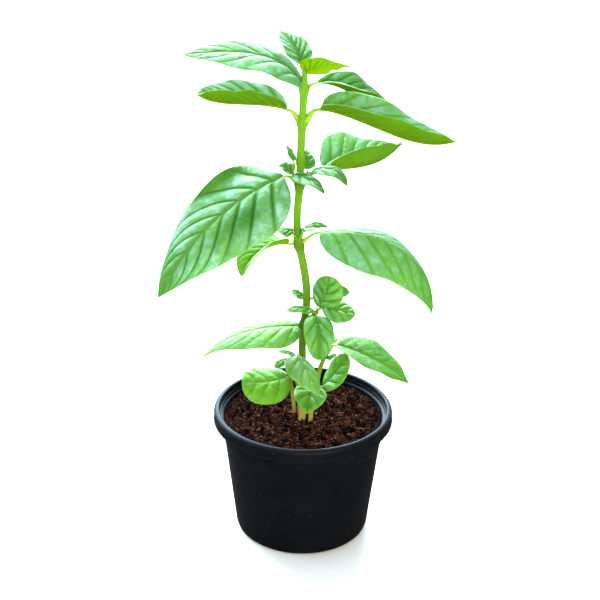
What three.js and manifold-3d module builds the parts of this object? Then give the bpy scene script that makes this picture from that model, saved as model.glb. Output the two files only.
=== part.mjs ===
// Potted basil: a black nursery pot of potting mix with one tall basil stem and three low ones round its foot.
// Millimetres and degrees. +Z is up, +X is to the right and -Y is towards the viewer of the front.
// The origin is the centre of the pot's underside.
import * as THREE from "three";
import { mergeVertices } from "three/addons/utils/BufferGeometryUtils.js";
import Module from "manifold-3d";

const wasm = await Module();
wasm.setup();
const { Manifold, Mesh } = wasm;

// ---------------------------------------------------------------- driving dimensions

const GAP = 0.3; // clearance between pieces that touch

const POT = {
  height: 79,
  rimRadius: 53,
  skirt: 7.5, // height of the rim's outer band
  roll: 2.4, // rounding of the rim's top edge
  wall: 1.5,
  shoulderRadius: 48.6, // outside of the body just under the rim
  stepHeight: 60.5, // a shallow step runs round the body here
  stepDepth: 0.5,
  footRadius: 39.6, // outside of the body at the bottom corner
  corner: 3,
  ledgeHeight: 74.6, // inner ledge that the rim's inner face stands on
  mouthRadius: 49.6,
  floor: 1.8,
  sides: 48,
  drains: 6,
  drainRadius: 3.6,
  drainRing: 27,
};

const SOIL = {
  level: 70, // mean height of the surface at the stem
  dish: 2, // how much higher it lies at the pot's wall
  bump: 1.1, // height of its lumps
  rings: 7,
  sides: 30,
};

// Stems: route points [x, y, z, radius], from the root in the soil to the tip. Basil stems are square with
// rounded corners, and swell where a pair of leaves joins.
const STEMS = {
  main: {
    swell: 1.45,
    nodes: [132, 183, 219, 254, 273],
    route: [
      [-0.6, 0, 34, 0.9],
      [-0.6, 0, 66, 2.4],
      [-0.7, 0, 100, 2.35],
      [-0.9, 0, 124, 2.3],
      [0.3, 0, 138, 2.3],
      [1.2, 0, 149, 2.35],
      [0.4, 0, 161, 2.4],
      [-2.2, 0, 176, 2.4],
      [-4.3, 0, 186, 2.35],
      [-4.9, 0, 200, 2.3],
      [-3.8, 0, 216, 2.4],
      [-3.4, 0, 232, 2.35],
      [-2.9, 0, 248, 2.3],
      [-2.4, 0, 261, 2.2],
      [-2.0, 0, 272, 2.2],
      [-1.7, 0, 281, 1.6],
      [-1.5, 0, 286, 1.0],
    ],
  },
  front: {
    swell: 1.4,
    nodes: [96, 122],
    route: [
      [4.0, -3, 46, 0.6],
      [4.2, -3.2, 68, 1.4],
      [5.4, -5.5, 84, 1.5],
      [7.6, -8, 96, 1.5],
      [9.0, -9, 107, 1.4],
      [12.0, -9.6, 117, 1.3],
      [14.4, -10, 123, 1.3],
      [14.9, -10, 127, 0.8],
    ],
  },
  left: {
    swell: 1.3,
    nodes: [97],
    route: [
      [-5.0, 7, 48, 0.5],
      [-5.1, 7, 68, 1.1],
      [-6.0, 4, 82, 1.2],
      [-7.5, 1, 94, 1.1],
      [-8.0, 0, 99.5, 0.9],
    ],
  },
  back: {
    swell: 1.3,
    nodes: [105],
    route: [
      [-2.0, 8, 50, 0.5],
      [-2.1, 8, 68, 1.1],
      [-3.0, 6.8, 86, 1.1],
      [-5.0, 5.4, 98, 1.0],
      [-7.5, 4.5, 107, 0.9],
    ],
  },
};

// Blades are drawn on rows that follow the side veins. Large leaves have a row on each vein and one on each
// bulge between veins.
const LARGE = { bands: 12, columns: [0.16, 0.55, 1], veins: 6, end: 0.03 };
const SMALL = { bands: 6, columns: [0.5, 1], veins: 3, end: 0.05 };
const NARROW = 0.36; // where a blade is narrower than this share of its width, it flattens towards its end

// What most leaves share. Each leaf states only what differs.
//   stem, z      the stem and the height on it where the stalk joins
//   heading      compass direction of the leaf, 0 = +X, 90 = +Y
//   stalk, stalkRise   length and pitch of the stalk
//   length, width      of the blade
//   rise, droop, arch  pitch of the midrib at the blade's base, how far it bends down by the tip, and how late
//   flick        how far the last part of the midrib turns up again
//   sweep        how far the heading turns by the tip
//   roll, twist  turn about the midrib at the base, and the extra turn by the tip; + lifts the left side
//   fold, curl   each half stands up from the midrib by fold, and bends back by curl at its margin
//   wave, puff   height of the margin's waves and of the bulges between side veins
//   crest        how high the margin of the right half rears up near the blade's base
//   belly        where the blade is widest, as a share of its length
//   point        how slender the tip is
const LEAF = {
  stalk: 8,
  stalkRise: 40,
  stalkRadius: 1.1,
  rise: 10,
  droop: 30,
  arch: 1,
  flick: 0,
  sweep: 0,
  roll: 0,
  twist: 0,
  fold: 20,
  curl: 20,
  wave: 0.6,
  waves: 2.5,
  crest: 0,
  puff: 1.0,
  belly: 0.4,
  point: 1.05,
  slant: 0.2,
  thickness: 0.75,
  keel: 0.9,
};

const SMALL_LEAF = {
  ...LEAF,
  stalk: 2,
  stalkRadius: 0.65,
  point: 0.75,
  puff: 0.5,
  wave: 0.3,
  waves: 2,
  thickness: 0.7,
  keel: 0.4,
};

const LEAVES = {
  crown_leaf_left: {
    stem: "main", z: 270, heading: 184, stalk: 3, stalkRise: 76, length: 73.5, width: 37.5, rise: 84,
    droop: 112, sweep: 20, roll: -10, twist: -7, fold: 12, curl: 31, belly: 0.39, flick: 31, arch: 0.55,
    puff: 1.3, wave: 0.8,
  },
  crown_leaf_right: {
    stem: "main", z: 272, heading: 23.8, stalk: 8, stalkRise: 30.7, length: 54.6, width: 26, rise: 2.2,
    droop: 61, sweep: 6.3, roll: 26.4, twist: -23.4, fold: 47.8, curl: 21.5, belly: 0.525, point: 0.93,
    flick: 60, arch: 0.575, puff: 0.9,
  },
  crown_leaf_back: {
    stem: "main", z: 282, heading: 123, stalk: 4, stalkRise: 66, length: 27, width: 18.5, rise: 54,
    droop: 41, sweep: 15, roll: 3, twist: -6, fold: 13, curl: 10, belly: 0.37, puff: 0.9,
  },
  crown_leaf_front: {
    stem: "main", z: 281, heading: -41, stalk: 1, stalkRise: 40, length: 28.5, width: 20, rise: 42,
    droop: 65, sweep: 22, roll: -38, twist: 7, fold: 22, curl: 30, belly: 0.35, point: 1, flick: 32,
    arch: 0.95, puff: 0.6,
  },
  upper_leaf_left: {
    stem: "main", z: 253, heading: 182, stalk: 12, stalkRise: 49, length: 51.5, width: 28.5, rise: 14,
    droop: 36, sweep: 22, roll: -6, twist: 8, fold: 60, curl: 25, belly: 0.5, point: 0.55, flick: 62,
    arch: 1.05, puff: 0.7, stalkRadius: 1.6,
  },
  upper_leaf_right: {
    stem: "main", z: 253, heading: -15.4, stalk: 14, stalkRise: 45.7, length: 77, width: 31, rise: -2.7,
    droop: 42.3, sweep: 15, roll: 18.7, twist: -33, fold: 60, curl: 17, point: 0.63, flick: 67, arch: 0.72,
    puff: 0.8, stalkRadius: 1.7,
  },
  high_leaf_left: {
    stem: "main", z: 219, heading: 204.7, stalk: 11, stalkRise: 31.5, length: 98.5, width: 54.2, rise: -14.5,
    droop: 45.7, sweep: 10.7, roll: -24.6, twist: 3.5, fold: -2.3, curl: 28.5, belly: 0.3, point: 0.97,
    flick: 3.6, puff: 1.5, wave: 0.8, crest: 11, stalkRadius: 1.25,
  },
  high_leaf_right: {
    stem: "main", z: 219, heading: 32, stalk: 16, stalkRise: 24, length: 64, width: 49, rise: -11,
    droop: -8, sweep: 16, twist: -9, fold: 53, curl: 20, belly: 0.35, point: 0.95, flick: 43, arch: 0.95,
    puff: 0.9, stalkRadius: 1.3,
  },
  middle_leaf_right: {
    stem: "main", z: 183, heading: -20, stalk: 15, stalkRise: 38, length: 92.5, width: 43.5, rise: 14,
    droop: 98, sweep: 15, roll: 17, twist: -4, fold: -21, curl: 15, belly: 0.37, point: 0.85, flick: -14,
    arch: 1.25, puff: 0.8,
  },
  middle_leaf_left: {
    stem: "main", z: 183, heading: 207, stalk: 7, stalkRise: 16, length: 37, width: 25.5, rise: 14,
    droop: 63, sweep: 20, roll: 13, twist: -10, fold: 30, curl: 8, belly: 0.42, point: 0.9, flick: -11,
    arch: 0.9, puff: 0.9,
  },
  low_leaf_left: {
    stem: "main", z: 131, heading: 201, stalk: 1, stalkRise: 39, length: 64.5, width: 32, rise: 12,
    droop: 45, sweep: -14, roll: -17, twist: 23, fold: 2, curl: 35, belly: 0.33, point: 1.25, flick: -19,
    arch: 1.15, puff: 1,
  },
  low_leaf_right: {
    stem: "front", z: 122.5, heading: -4, stalk: 5, stalkRise: 31, length: 49, width: 30.5, rise: -13,
    droop: 30, sweep: -1, roll: 1, twist: 14, fold: 22, curl: 27, belly: 0.36, flick: 3, arch: 0.95,
    puff: 0.6,
  },
};

// Leafy shoots. Each has a short stem of its own or one of the basal stems, with its small leaves fused to it.
const SHOOTS = {
  high_shoot_left: {
    host: "main",
    route: [
      [-3.6, -1, 220.5, 1.2],
      [-5.8, -4.5, 223.5, 1.1],
      [-7.2, -6, 226, 1.0],
      [-6.6, -4.8, 232, 0.8],
    ],
    leaves: [
      {
        from: [-6.6, -4.8, 231.6], heading: 118, stalk: 2, stalkRise: 58, length: 11, width: 5.5,
        rise: 46, droop: 17, sweep: 2, roll: 14, twist: 6, fold: 14, curl: 8, flick: 2,
      },
      {
        from: [-7.2, -6, 226], heading: 163, stalk: 1, stalkRise: 42, length: 9.5, width: 11.5, rise: 40,
        droop: 38, sweep: -4, roll: -14, twist: 9, fold: 25, curl: 6, belly: 0.39, point: 0.8, flick: -8,
      },
      {
        from: [-7.2, -6, 225.5], heading: -33, stalk: 1, stalkRise: 75, length: 23, width: 14, rise: -4,
        droop: 11, sweep: -13, roll: 13, twist: -37, fold: 13, curl: 31, belly: 0.38, flick: -24,
      },
    ],
  },
  high_shoot_right: {
    host: "main",
    route: [
      [-3.4, 0, 220, 1.2],
      [-1.2, -1.2, 223.5, 1.1],
      [1, -2.8, 226.5, 0.9],
    ],
    leaves: [
      {
        from: [1, -2.8, 226.5], heading: -15, stalk: 1.5, stalkRise: 21, length: 25, width: 13.5,
        rise: 25, droop: 86, sweep: -11, roll: 6, twist: -4, fold: 1, curl: 11, belly: 0.39, point: 0.7,
        flick: -15, arch: 1.4,
      },
      {
        from: [0.5, -2.4, 226], heading: 94, stalk: 2.5, stalkRise: 46, length: 12, width: 13, rise: 68,
        droop: 44, sweep: -4, roll: 21, twist: -2, fold: -1, curl: 32, belly: 0.37,
      },
    ],
  },
  middle_shoot_right: {
    host: "main",
    route: [
      [-4.2, 0, 185, 1.2],
      [-3.0, -1.8, 188, 1.1],
      [-2.0, -2.7, 191, 1.0],
      [-1.6, -2.8, 194, 0.8],
    ],
    leaves: [
      {
        from: [-1.6, -2.8, 193.2], heading: 30, stalk: 1, stalkRise: 44, length: 17.5, width: 6.5,
        rise: 15, droop: 50, sweep: 11, roll: -7, twist: 44, fold: 6, curl: 37, belly: 0.42, flick: -8,
        arch: 1.05,
      },
      {
        from: [-2.0, -2.7, 191], heading: -45, stalk: 1, stalkRise: 50, length: 10, width: 8.5, rise: 32,
        droop: 20, roll: 0, twist: -9, fold: 4, curl: 33, belly: 0.38, point: 0.8, flick: 11,
      },
    ],
  },
  middle_shoot_left: {
    host: "main",
    route: [
      [-4.5, -0.6, 186, 1.2],
      [-5.8, -3.2, 189, 1.0],
      [-7.0, -4.4, 191.4, 0.8],
    ],
    leaves: [
      {
        from: [-7, -4.4, 191], heading: 176, stalk: 1, stalkRise: 80, length: 9, width: 11, rise: 15,
        droop: 21, sweep: -9, roll: -15, twist: 16, fold: 4, curl: 22, belly: 0.35, point: 0.7, flick: 6,
      },
    ],
  },
  side_shoot_front: {
    host: "main",
    route: [
      [0, 0, 134, 1.5],
      [3, -4, 138.5, 1.4],
      [6.3, -7.5, 143, 1.4],
      [7.6, -8, 146.5, 1.1],
    ],
    leaves: [
      {
        from: [7.6, -8, 146.3], heading: 47, stalk: 1.5, stalkRise: 21, length: 19.5, width: 21,
        rise: 52, droop: -13, sweep: 12, roll: -1, twist: 14, fold: -5, curl: 20, belly: 0.45,
        point: 0.65, flick: 36, arch: 0.95,
      },
      {
        from: [7.6, -8, 146], heading: -12, stalk: 3, stalkRise: 21, length: 19, width: 18.5, rise: 5,
        droop: 36, sweep: 12, roll: 8, twist: 22, fold: 5, curl: 23, belly: 0.44, point: 0.7, flick: 26,
      },
      {
        from: [7.2, -8, 145.5], heading: 198, stalk: 1.5, stalkRise: 3, length: 17, width: 8.5, rise: 18,
        droop: 3, sweep: -11, roll: 2, twist: -17, fold: 2, curl: 24, belly: 0.38, point: 0.6,
        flick: -49, arch: 1.05,
      },
      {
        from: [6.6, -7.8, 144], heading: -84, stalk: 4.5, stalkRise: 0, length: 29, width: 17.5,
        rise: -14, droop: 97, sweep: 3, roll: -6, twist: 8, fold: 12, curl: 10, belly: 0.37, point: 0.7,
        flick: -10, arch: 1.1,
      },
    ],
  },
  side_shoot_back: {
    host: "main",
    route: [
      [0.3, 0, 138, 1.3],
      [1.6, 3, 142, 1.1],
      [2.4, 5.5, 147, 0.9],
    ],
    leaves: [
      {
        from: [2.4, 5.5, 146.8], heading: 176, stalk: 2.5, stalkRise: 9, length: 9, width: 8.5, rise: 35,
        droop: 12, sweep: -18, roll: -6, twist: -1, fold: 7, curl: 23,
      },
      {
        from: [2.4, 5.5, 146.5], heading: 14, stalk: 5.5, stalkRise: 14, length: 20, width: 12, rise: 14,
        droop: 30, sweep: 12, roll: 15, twist: 35, fold: 30, curl: 16,
      },
    ],
  },
  foot_shoot: {
    host: "main",
    route: [
      [-0.8, 0, 108, 1.4],
      [-2.6, -2.4, 111.5, 1.2],
      [-3.4, -3.6, 115, 1.0],
    ],
    leaves: [
      {
        from: [-3.2, -3.4, 114.5], heading: -79, stalk: 2, stalkRise: 18, length: 30.5, width: 22.5,
        rise: 6, droop: 53, sweep: 30, roll: -19, twist: 8, fold: -7, curl: 28, belly: 0.36, point: 0.65,
        flick: 12, arch: 0.8,
      },
      {
        from: [-3.4, -3.6, 114.8], heading: 203, stalk: 1.5, stalkRise: 9, length: 12, width: 6.5,
        rise: 33, droop: 25, sweep: -7, roll: -8, twist: 12, fold: 12, curl: 39, belly: 0.38,
      },
    ],
  },
  front_shoot: {
    stem: "front",
    leaves: [
      {
        from: [7.9, -8.2, 97], heading: -8, stalk: 3.5, stalkRise: 3, length: 25.5, width: 18.5,
        rise: 48, droop: -18, sweep: 5, roll: 16, twist: 30, fold: 2, curl: 8, belly: 0.38, point: 0.5,
        flick: 2,
      },
      {
        from: [7.4, -8, 95.5], heading: -112, stalk: 1.5, stalkRise: 36, length: 21, width: 20, rise: 4,
        droop: 55, sweep: 14, twist: -14, fold: 22, curl: 18, belly: 0.42, point: 0.9, flick: 13,
      },
      {
        from: [14, -9.4, 123], heading: 62, stalk: 2, stalkRise: 30, length: 8, width: 6, rise: 25,
        droop: 30, roll: 10, fold: 20, curl: 15, belly: 0.41,
      },
      {
        from: [12, -9.6, 117], heading: -24, stalk: 1, stalkRise: 4, length: 7, width: 6.5, rise: 15,
        droop: -22, sweep: 15, roll: -4, twist: 20, fold: -2, curl: 28, belly: 0.34,
      },
    ],
  },
  left_shoot: {
    stem: "left",
    leaves: [
      {
        from: [-8, 0, 98.6], heading: 199, stalk: 1, stalkRise: 31, length: 29, width: 28, rise: -16,
        droop: -35, roll: -25, twist: -12, fold: -2, curl: 27, belly: 0.48, point: 0.45,
      },
    ],
  },
  back_shoot: {
    stem: "back",
    leaves: [
      {
        from: [-7.5, 4.5, 106.6], heading: 174, stalk: 1.5, stalkRise: 35, length: 10.5, width: 8,
        rise: -10, droop: 44, sweep: 4, roll: -3, twist: -29, fold: 5, curl: 35, belly: 0.44,
      },
    ],
  },
};

const MATERIAL = {
  pot: { color: 0x15161a, roughness: 0.45, metalness: 0 },
  soil: { color: 0x3a231b, roughness: 1, metalness: 0 },
  stem: { color: 0x8cc414, roughness: 0.5, metalness: 0 },
  leaf: { color: 0x4da832, roughness: 0.4, metalness: 0 },
};

// ---------------------------------------------------------------- solids from meshes

const rad = THREE.MathUtils.degToRad;

function solidOf(points, triangles) {
  const mesh = new Mesh({
    numProp: 3,
    vertProperties: new Float32Array(points.flat()),
    triVerts: new Uint32Array(triangles.flat()),
  });
  mesh.merge();
  return new Manifold(mesh);
}

function solidOfGeometry(geometry) {
  geometry.deleteAttribute("normal");
  geometry.deleteAttribute("uv");
  const merged = mergeVertices(geometry, 1e-4);
  return new Manifold(
    new Mesh({
      numProp: 3,
      vertProperties: merged.attributes.position.array,
      triVerts: new Uint32Array(merged.index.array),
    }),
  );
}

function geometryOf(solid) {
  const mesh = solid.getMesh();
  const geometry = new THREE.BufferGeometry();
  geometry.setAttribute("position", new THREE.BufferAttribute(mesh.vertProperties, 3));
  geometry.setIndex(new THREE.BufferAttribute(mesh.triVerts, 1));
  geometry.computeVertexNormals();
  return geometry;
}

// A closed tube along points, with a radius at each one. squareness pulls the section towards a square.
function tube(points, radii, sides, squareness = 0) {
  const ring = [];
  for (let k = 0; k < sides; k++) {
    const a = (2 * Math.PI * k) / sides;
    const flat = 1 / Math.max(Math.abs(Math.cos(a)), Math.abs(Math.sin(a)));
    const r = 1 - squareness + squareness * flat * 0.9;
    ring.push([r * Math.cos(a), r * Math.sin(a)]);
  }
  const vertices = [];
  const triangles = [];
  const first = points[1].clone().sub(points[0]).normalize();
  const side = Math.abs(first.x) > 0.8 ? new THREE.Vector3(0, 1, 0) : new THREE.Vector3(1, 0, 0);
  points.forEach((p, i) => {
    const ahead = points[Math.min(i + 1, points.length - 1)];
    const behind = points[Math.max(i - 1, 0)];
    const along = ahead.clone().sub(behind).normalize();
    side.addScaledVector(along, -side.dot(along)).normalize();
    const up = along.clone().cross(side);
    for (const [a, b] of ring) {
      vertices.push(
        p.clone().addScaledVector(side, a * radii[i]).addScaledVector(up, b * radii[i]).toArray(),
      );
    }
  });
  const rings = points.length;
  for (let i = 0; i < rings - 1; i++) {
    for (let k = 0; k < sides; k++) {
      const n = (k + 1) % sides;
      const [a, b, c, d] = [i * sides + k, i * sides + n, (i + 1) * sides + n, (i + 1) * sides + k];
      triangles.push([a, b, c], [a, c, d]);
    }
  }
  const last = (rings - 1) * sides;
  for (let k = 1; k < sides - 1; k++) {
    triangles.push([0, k + 1, k], [last, last + k, last + k + 1]);
  }
  return solidOf(vertices, triangles);
}

// ---------------------------------------------------------------- pot and soil

function lathe(profile, sides) {
  const points = profile.map(([r, z]) => new THREE.Vector2(r, z));
  return solidOfGeometry(new THREE.LatheGeometry(points, sides).rotateX(Math.PI / 2));
}

function arc(cx, cz, r, from, to, steps) {
  return Array.from({ length: steps + 1 }, (_, i) => {
    const a = rad(from + ((to - from) * i) / steps);
    return [cx + r * Math.cos(a), cz + r * Math.sin(a)];
  });
}

// Outer radius of the pot's body at height z.
function bodyRadius(z) {
  const t = z / (POT.height - POT.skirt);
  const lip = z > POT.stepHeight ? POT.stepDepth : 0;
  return POT.footRadius + (POT.shoulderRadius - POT.stepDepth - POT.footRadius) * t + lip;
}

function makePot() {
  const { height, rimRadius, skirt, roll, wall, corner, floor, mouthRadius, ledgeHeight } = POT;
  const under = height - skirt;
  const inner = (z) => bodyRadius(z) - wall;
  const profile = [
    [0, 0],
    ...arc(POT.footRadius - corner, corner, corner, -90, -8, 4),
    [bodyRadius(POT.stepHeight - 0.4), POT.stepHeight - 0.4],
    [bodyRadius(POT.stepHeight + 0.4), POT.stepHeight + 0.4],
    [bodyRadius(under), under],
    [bodyRadius(under), height - 2 * wall],
    [rimRadius - wall, height - 2 * wall],
    [rimRadius - wall, under],
    [rimRadius, under],
    ...arc(rimRadius - roll, height - roll, roll, 0, 90, 4),
    ...arc(mouthRadius + 0.8, height - 0.8, 0.8, 90, 180, 2),
    [mouthRadius - 0.4, ledgeHeight],
    [inner(ledgeHeight), ledgeHeight - 0.6],
    [inner(corner + 2), corner + 2],
    [inner(corner) - 3, floor],
    [0, floor],
  ];
  let pot = lathe(profile, POT.sides);
  for (let k = 0; k < POT.drains; k++) {
    const a = (2 * Math.PI * (k + 0.5)) / POT.drains;
    const hole = new THREE.CylinderGeometry(POT.drainRadius, POT.drainRadius, 4 * floor, 10)
      .rotateX(Math.PI / 2)
      .translate(POT.drainRing * Math.cos(a), POT.drainRing * Math.sin(a), floor);
    pot = pot.subtract(solidOfGeometry(hole));
  }
  return pot;
}

// Height of the soil at a point: a few waves of different lengths stand for its clods.
function soilHeight(x, y) {
  const lumps =
    Math.sin(0.21 * x + 1.3) * Math.cos(0.17 * y + 0.4) +
    0.7 * Math.sin(0.47 * x - 0.31 * y) * Math.cos(0.39 * y + 0.8) +
    0.5 * Math.sin(0.83 * y + 0.52 * x + 2.1);
  return SOIL.level + SOIL.dish * (Math.hypot(x, y) / 46) ** 2 + (SOIL.bump * lumps) / 1.6;
}

function makeSoil(stems) {
  const bottom = POT.floor + GAP;
  const edge = bodyRadius(SOIL.level) - POT.wall - 0.5;
  const foot = bodyRadius(POT.corner + 2) - POT.wall - 4;
  const vertices = [[0, 0, soilHeight(0, 0)]];
  const triangles = [];
  const index = (ring, k) => 1 + (ring - 1) * SOIL.sides + (k % SOIL.sides);
  for (let ring = 1; ring <= SOIL.rings; ring++) {
    const r = (edge * ring) / SOIL.rings;
    for (let k = 0; k < SOIL.sides; k++) {
      const a = (2 * Math.PI * k) / SOIL.sides;
      const [x, y] = [r * Math.cos(a), r * Math.sin(a)];
      vertices.push([x, y, ring === SOIL.rings ? SOIL.level + SOIL.dish - 0.6 : soilHeight(x, y)]);
    }
  }
  for (let k = 0; k < SOIL.sides; k++) {
    const a = (2 * Math.PI * k) / SOIL.sides;
    vertices.push([foot * Math.cos(a), foot * Math.sin(a), bottom]);
  }
  vertices.push([0, 0, bottom]);
  const base = vertices.length - 1;
  for (let k = 0; k < SOIL.sides; k++) {
    triangles.push([0, index(1, k), index(1, k + 1)]);
    for (let ring = 1; ring <= SOIL.rings; ring++) {
      const [a, b, c, d] = [index(ring, k), index(ring + 1, k), index(ring + 1, k + 1), index(ring, k + 1)];
      triangles.push([a, b, c], [a, c, d]);
    }
    triangles.push([base, index(SOIL.rings + 1, k + 1), index(SOIL.rings + 1, k)]);
  }
  let soil = solidOf(vertices, triangles);
  for (const stem of stems) soil = soil.subtract(stem);
  return soil;
}

// ---------------------------------------------------------------- stems

// The stem's middle line as closely spaced points with radii, swollen at its nodes and grown by extra.
function stemLine(spec, extra = 0) {
  const route = spec.route.map(([x, y, z]) => new THREE.Vector3(x, y, z));
  const curve = new THREE.CatmullRomCurve3(route, false, "centripetal");
  const steps = (spec.route.length - 1) * 2;
  const points = [];
  const radii = [];
  for (let i = 0; i <= steps; i++) {
    const p = curve.getPoint(i / steps);
    points.push(p);
    radii.push(stemRadius(spec, p.z) + extra);
  }
  return { points, radii };
}

// The route's two points that height z lies between, and how far along it is.
function stretchAt(spec, z) {
  const k = spec.route.findIndex((p, i) => i > 0 && (p[2] > z || i === spec.route.length - 1));
  const [below, above] = [spec.route[k - 1], spec.route[k]];
  return [below, above, THREE.MathUtils.clamp((z - below[2]) / (above[2] - below[2]), 0, 1)];
}

function stemRadius(spec, z) {
  const [below, above, t] = stretchAt(spec, z);
  const plain = below[3] * (1 - t) + above[3] * t;
  const swell = Math.max(0, ...spec.nodes.map((n) => Math.exp(-(((z - n) / 3.2) ** 2))));
  return plain * (1 + (spec.swell - 1) * swell);
}

// The point on the stem's middle line at height z.
function onStem(spec, z) {
  const [below, above, t] = stretchAt(spec, z);
  return new THREE.Vector3(...below).lerp(new THREE.Vector3(...above), t);
}

function stemSolid(spec, extra = 0) {
  const { points, radii } = stemLine(spec, extra);
  return tube(points, radii, 8, 0.5);
}

// ---------------------------------------------------------------- leaves

function direction(heading, pitch) {
  const [h, p] = [rad(heading), rad(pitch)];
  return new THREE.Vector3(Math.cos(p) * Math.cos(h), Math.cos(p) * Math.sin(h), Math.sin(p));
}

// The midrib from the stalk's end to the tip, with the blade's across and up directions at each point.
function midrib(leaf, start, steps) {
  const course = (s) =>
    direction(leaf.heading + leaf.sweep * s, leaf.rise - leaf.droop * s ** leaf.arch + leaf.flick * s ** 3);
  const p = start.clone();
  const line = [];
  for (let i = 0; i <= steps; i++) {
    const s = i / steps;
    const heading = leaf.heading + leaf.sweep * s;
    const along = course(s);
    const level = new THREE.Vector3(-Math.sin(rad(heading)), Math.cos(rad(heading)), 0);
    const turn = rad(leaf.roll + leaf.twist * s);
    const above = along.clone().cross(level);
    const across = level.clone().multiplyScalar(Math.cos(turn)).addScaledVector(above, Math.sin(turn));
    line.push({ s, point: p.clone(), along, across, up: along.clone().cross(across) });
    p.addScaledVector(course(s + 0.5 / steps), leaf.length / steps);
  }
  return line;
}

// Half the blade's width at a share s of its length.
function halfWidth(leaf, s) {
  const a = (leaf.point * leaf.belly) / (1 - leaf.belly);
  const peak = leaf.belly ** a * (1 - leaf.belly) ** leaf.point;
  return ((leaf.width / 2) * s ** a * (1 - s) ** leaf.point) / peak;
}

// The share of the blade's length that a point on vein row t, at u across, lies at.
function shareAt(leaf, t, u) {
  return THREE.MathUtils.clamp(t + leaf.slant * Math.abs(u) * Math.sin(Math.PI * t), 0, 1);
}

// 1 over most of the blade, falling to 0 at its narrow ends.
function fullness(leaf, s) {
  return Math.min(1, (halfWidth(leaf, s) * 2) / (NARROW * leaf.width));
}

// A point of the blade's middle surface: t along the vein rows, u across, from -1 to 1.
function bladePoint(leaf, line, veins, t, u) {
  const side = Math.sign(u);
  const out = Math.abs(u);
  const s = shareAt(leaf, t, u);
  const k = Math.min(line.length - 2, Math.floor(s * (line.length - 1)));
  const f = s * (line.length - 1) - k;
  const mix = (name) => line[k][name].clone().lerp(line[k + 1][name], f);
  const w = halfWidth(leaf, s);
  const [fold, curl] = [rad(leaf.fold) * fullness(leaf, s), rad(leaf.curl)];
  const bent = fold - curl * out;
  const flat = Math.abs(curl) > 1e-6;
  const across = w * (flat ? (Math.sin(fold) - Math.sin(bent)) / curl : out * Math.cos(fold));
  const lift = w * (flat ? (Math.cos(bent) - Math.cos(fold)) / curl : out * Math.sin(fold));
  const bulge = leaf.puff * Math.sin(Math.PI * out ** 0.8) * Math.sin(Math.PI * veins * t) ** 2;
  const wave = leaf.wave * out ** 2 * Math.sin(2 * Math.PI * leaf.waves * s + side) * Math.sin(Math.PI * s);
  const rear = Math.max(0, out * 2 - 1) ** 1.3 * Math.exp(-(((s - 0.3) / 0.18) ** 2));
  const crest = side < 0 ? leaf.crest * rear : 0;
  return mix("point")
    .addScaledVector(mix("across").normalize(), side * (across - 0.4 * crest))
    .addScaledVector(mix("up").normalize(), lift + bulge * Math.min(1, (w * 2) / 12) + wave + crest);
}

// The blade as a thin closed solid: both faces have the same triangles, and the rib stands out below.
function bladeSolid(leaf, start, grid) {
  const line = midrib(leaf, start, 40);
  const us = [...grid.columns.map((u) => -u).reverse(), 0, ...grid.columns];
  const across = us.length;
  const place = (t, u) => bladePoint(leaf, line, grid.veins, t, u);
  const faces = [[], []];
  const add = (t, u) => {
    const p = place(t, u);
    const step = 0.02;
    const dt = place(Math.min(1, t + step), u).sub(place(Math.max(0, t - step), u));
    const inside = Math.max(-1, u - step);
    const du = place(t, Math.min(1, u + step)).sub(place(t, inside));
    const { up } = line[Math.round(t * (line.length - 1))];
    const face = u === 0 ? up.clone() : dt.cross(du).normalize();
    if (face.dot(up) < 0) face.negate();
    const normal = up.clone().lerp(face, fullness(leaf, shareAt(leaf, t, u))).normalize();
    const keel = u === 0 ? leaf.keel * (1 - 0.85 * t) : 0;
    faces[0].push(p.clone().addScaledVector(normal, leaf.thickness / 2).toArray());
    faces[1].push(p.clone().addScaledVector(normal, -leaf.thickness / 2 - keel).toArray());
  };
  const between = Array.from({ length: grid.bands - 1 }, (_, i) => (i + 1) / grid.bands);
  const ts = [0, grid.end, ...between, 1 - grid.end, 1];
  const rows = ts.length - 1;
  add(0, 0);
  for (let i = 1; i < rows; i++) for (const u of us) add(ts[i], u);
  add(1, 0);
  const count = faces[0].length;
  const at = (i, j) => (i === 0 ? 0 : i === rows ? count - 1 : 1 + (i - 1) * across + j);
  const top = [];
  for (let j = 0; j < across - 1; j++) {
    top.push([at(0), at(1, j), at(1, j + 1)]);
    for (let i = 1; i < rows - 1; i++) {
      const [a, b, c, d] = [at(i, j), at(i + 1, j), at(i + 1, j + 1), at(i, j + 1)];
      if (us[j] < 0) top.push([a, b, d], [b, c, d]);
      else top.push([a, b, c], [a, c, d]);
    }
    top.push([at(rows - 1, j), at(rows), at(rows - 1, j + 1)]);
  }
  const bottom = top.map(([a, b, c]) => [a + count, c + count, b + count]);
  const walls = [];
  for (let i = 0; i < rows; i++) {
    const [a, b] = [at(i, 0), at(i + 1, 0)];
    const [c, d] = [at(i, across - 1), at(i + 1, across - 1)];
    walls.push([a, a + count, b + count], [a, b + count, b]);
    walls.push([c, d + count, c + count], [c, d, d + count]);
  }
  return { solid: solidOf([...faces[0], ...faces[1]], [...top, ...bottom, ...walls]), line };
}

// The stalk from inside the stem to a little way along the blade's rib.
function stalkSolid(leaf, from, start, line, sides) {
  const ahead = start.clone().addScaledVector(line[0].along, 0.05 * leaf.length);
  const low = line[0].up.clone().multiplyScalar(-leaf.keel * 0.6);
  const lean = direction(leaf.heading, leaf.stalkRise).multiplyScalar(0.45 * leaf.stalk);
  const curve = new THREE.CubicBezierCurve3(
    from,
    from.clone().add(lean),
    start.clone().addScaledVector(line[0].along, -0.35 * leaf.stalk).add(low),
    start.clone().add(low),
  );
  const points = [...curve.getPoints(5), ahead.add(low)];
  const radii = points.map((_, i) => leaf.stalkRadius * (1.25 - 0.12 * i));
  return tube(points, radii, sides);
}

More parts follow.
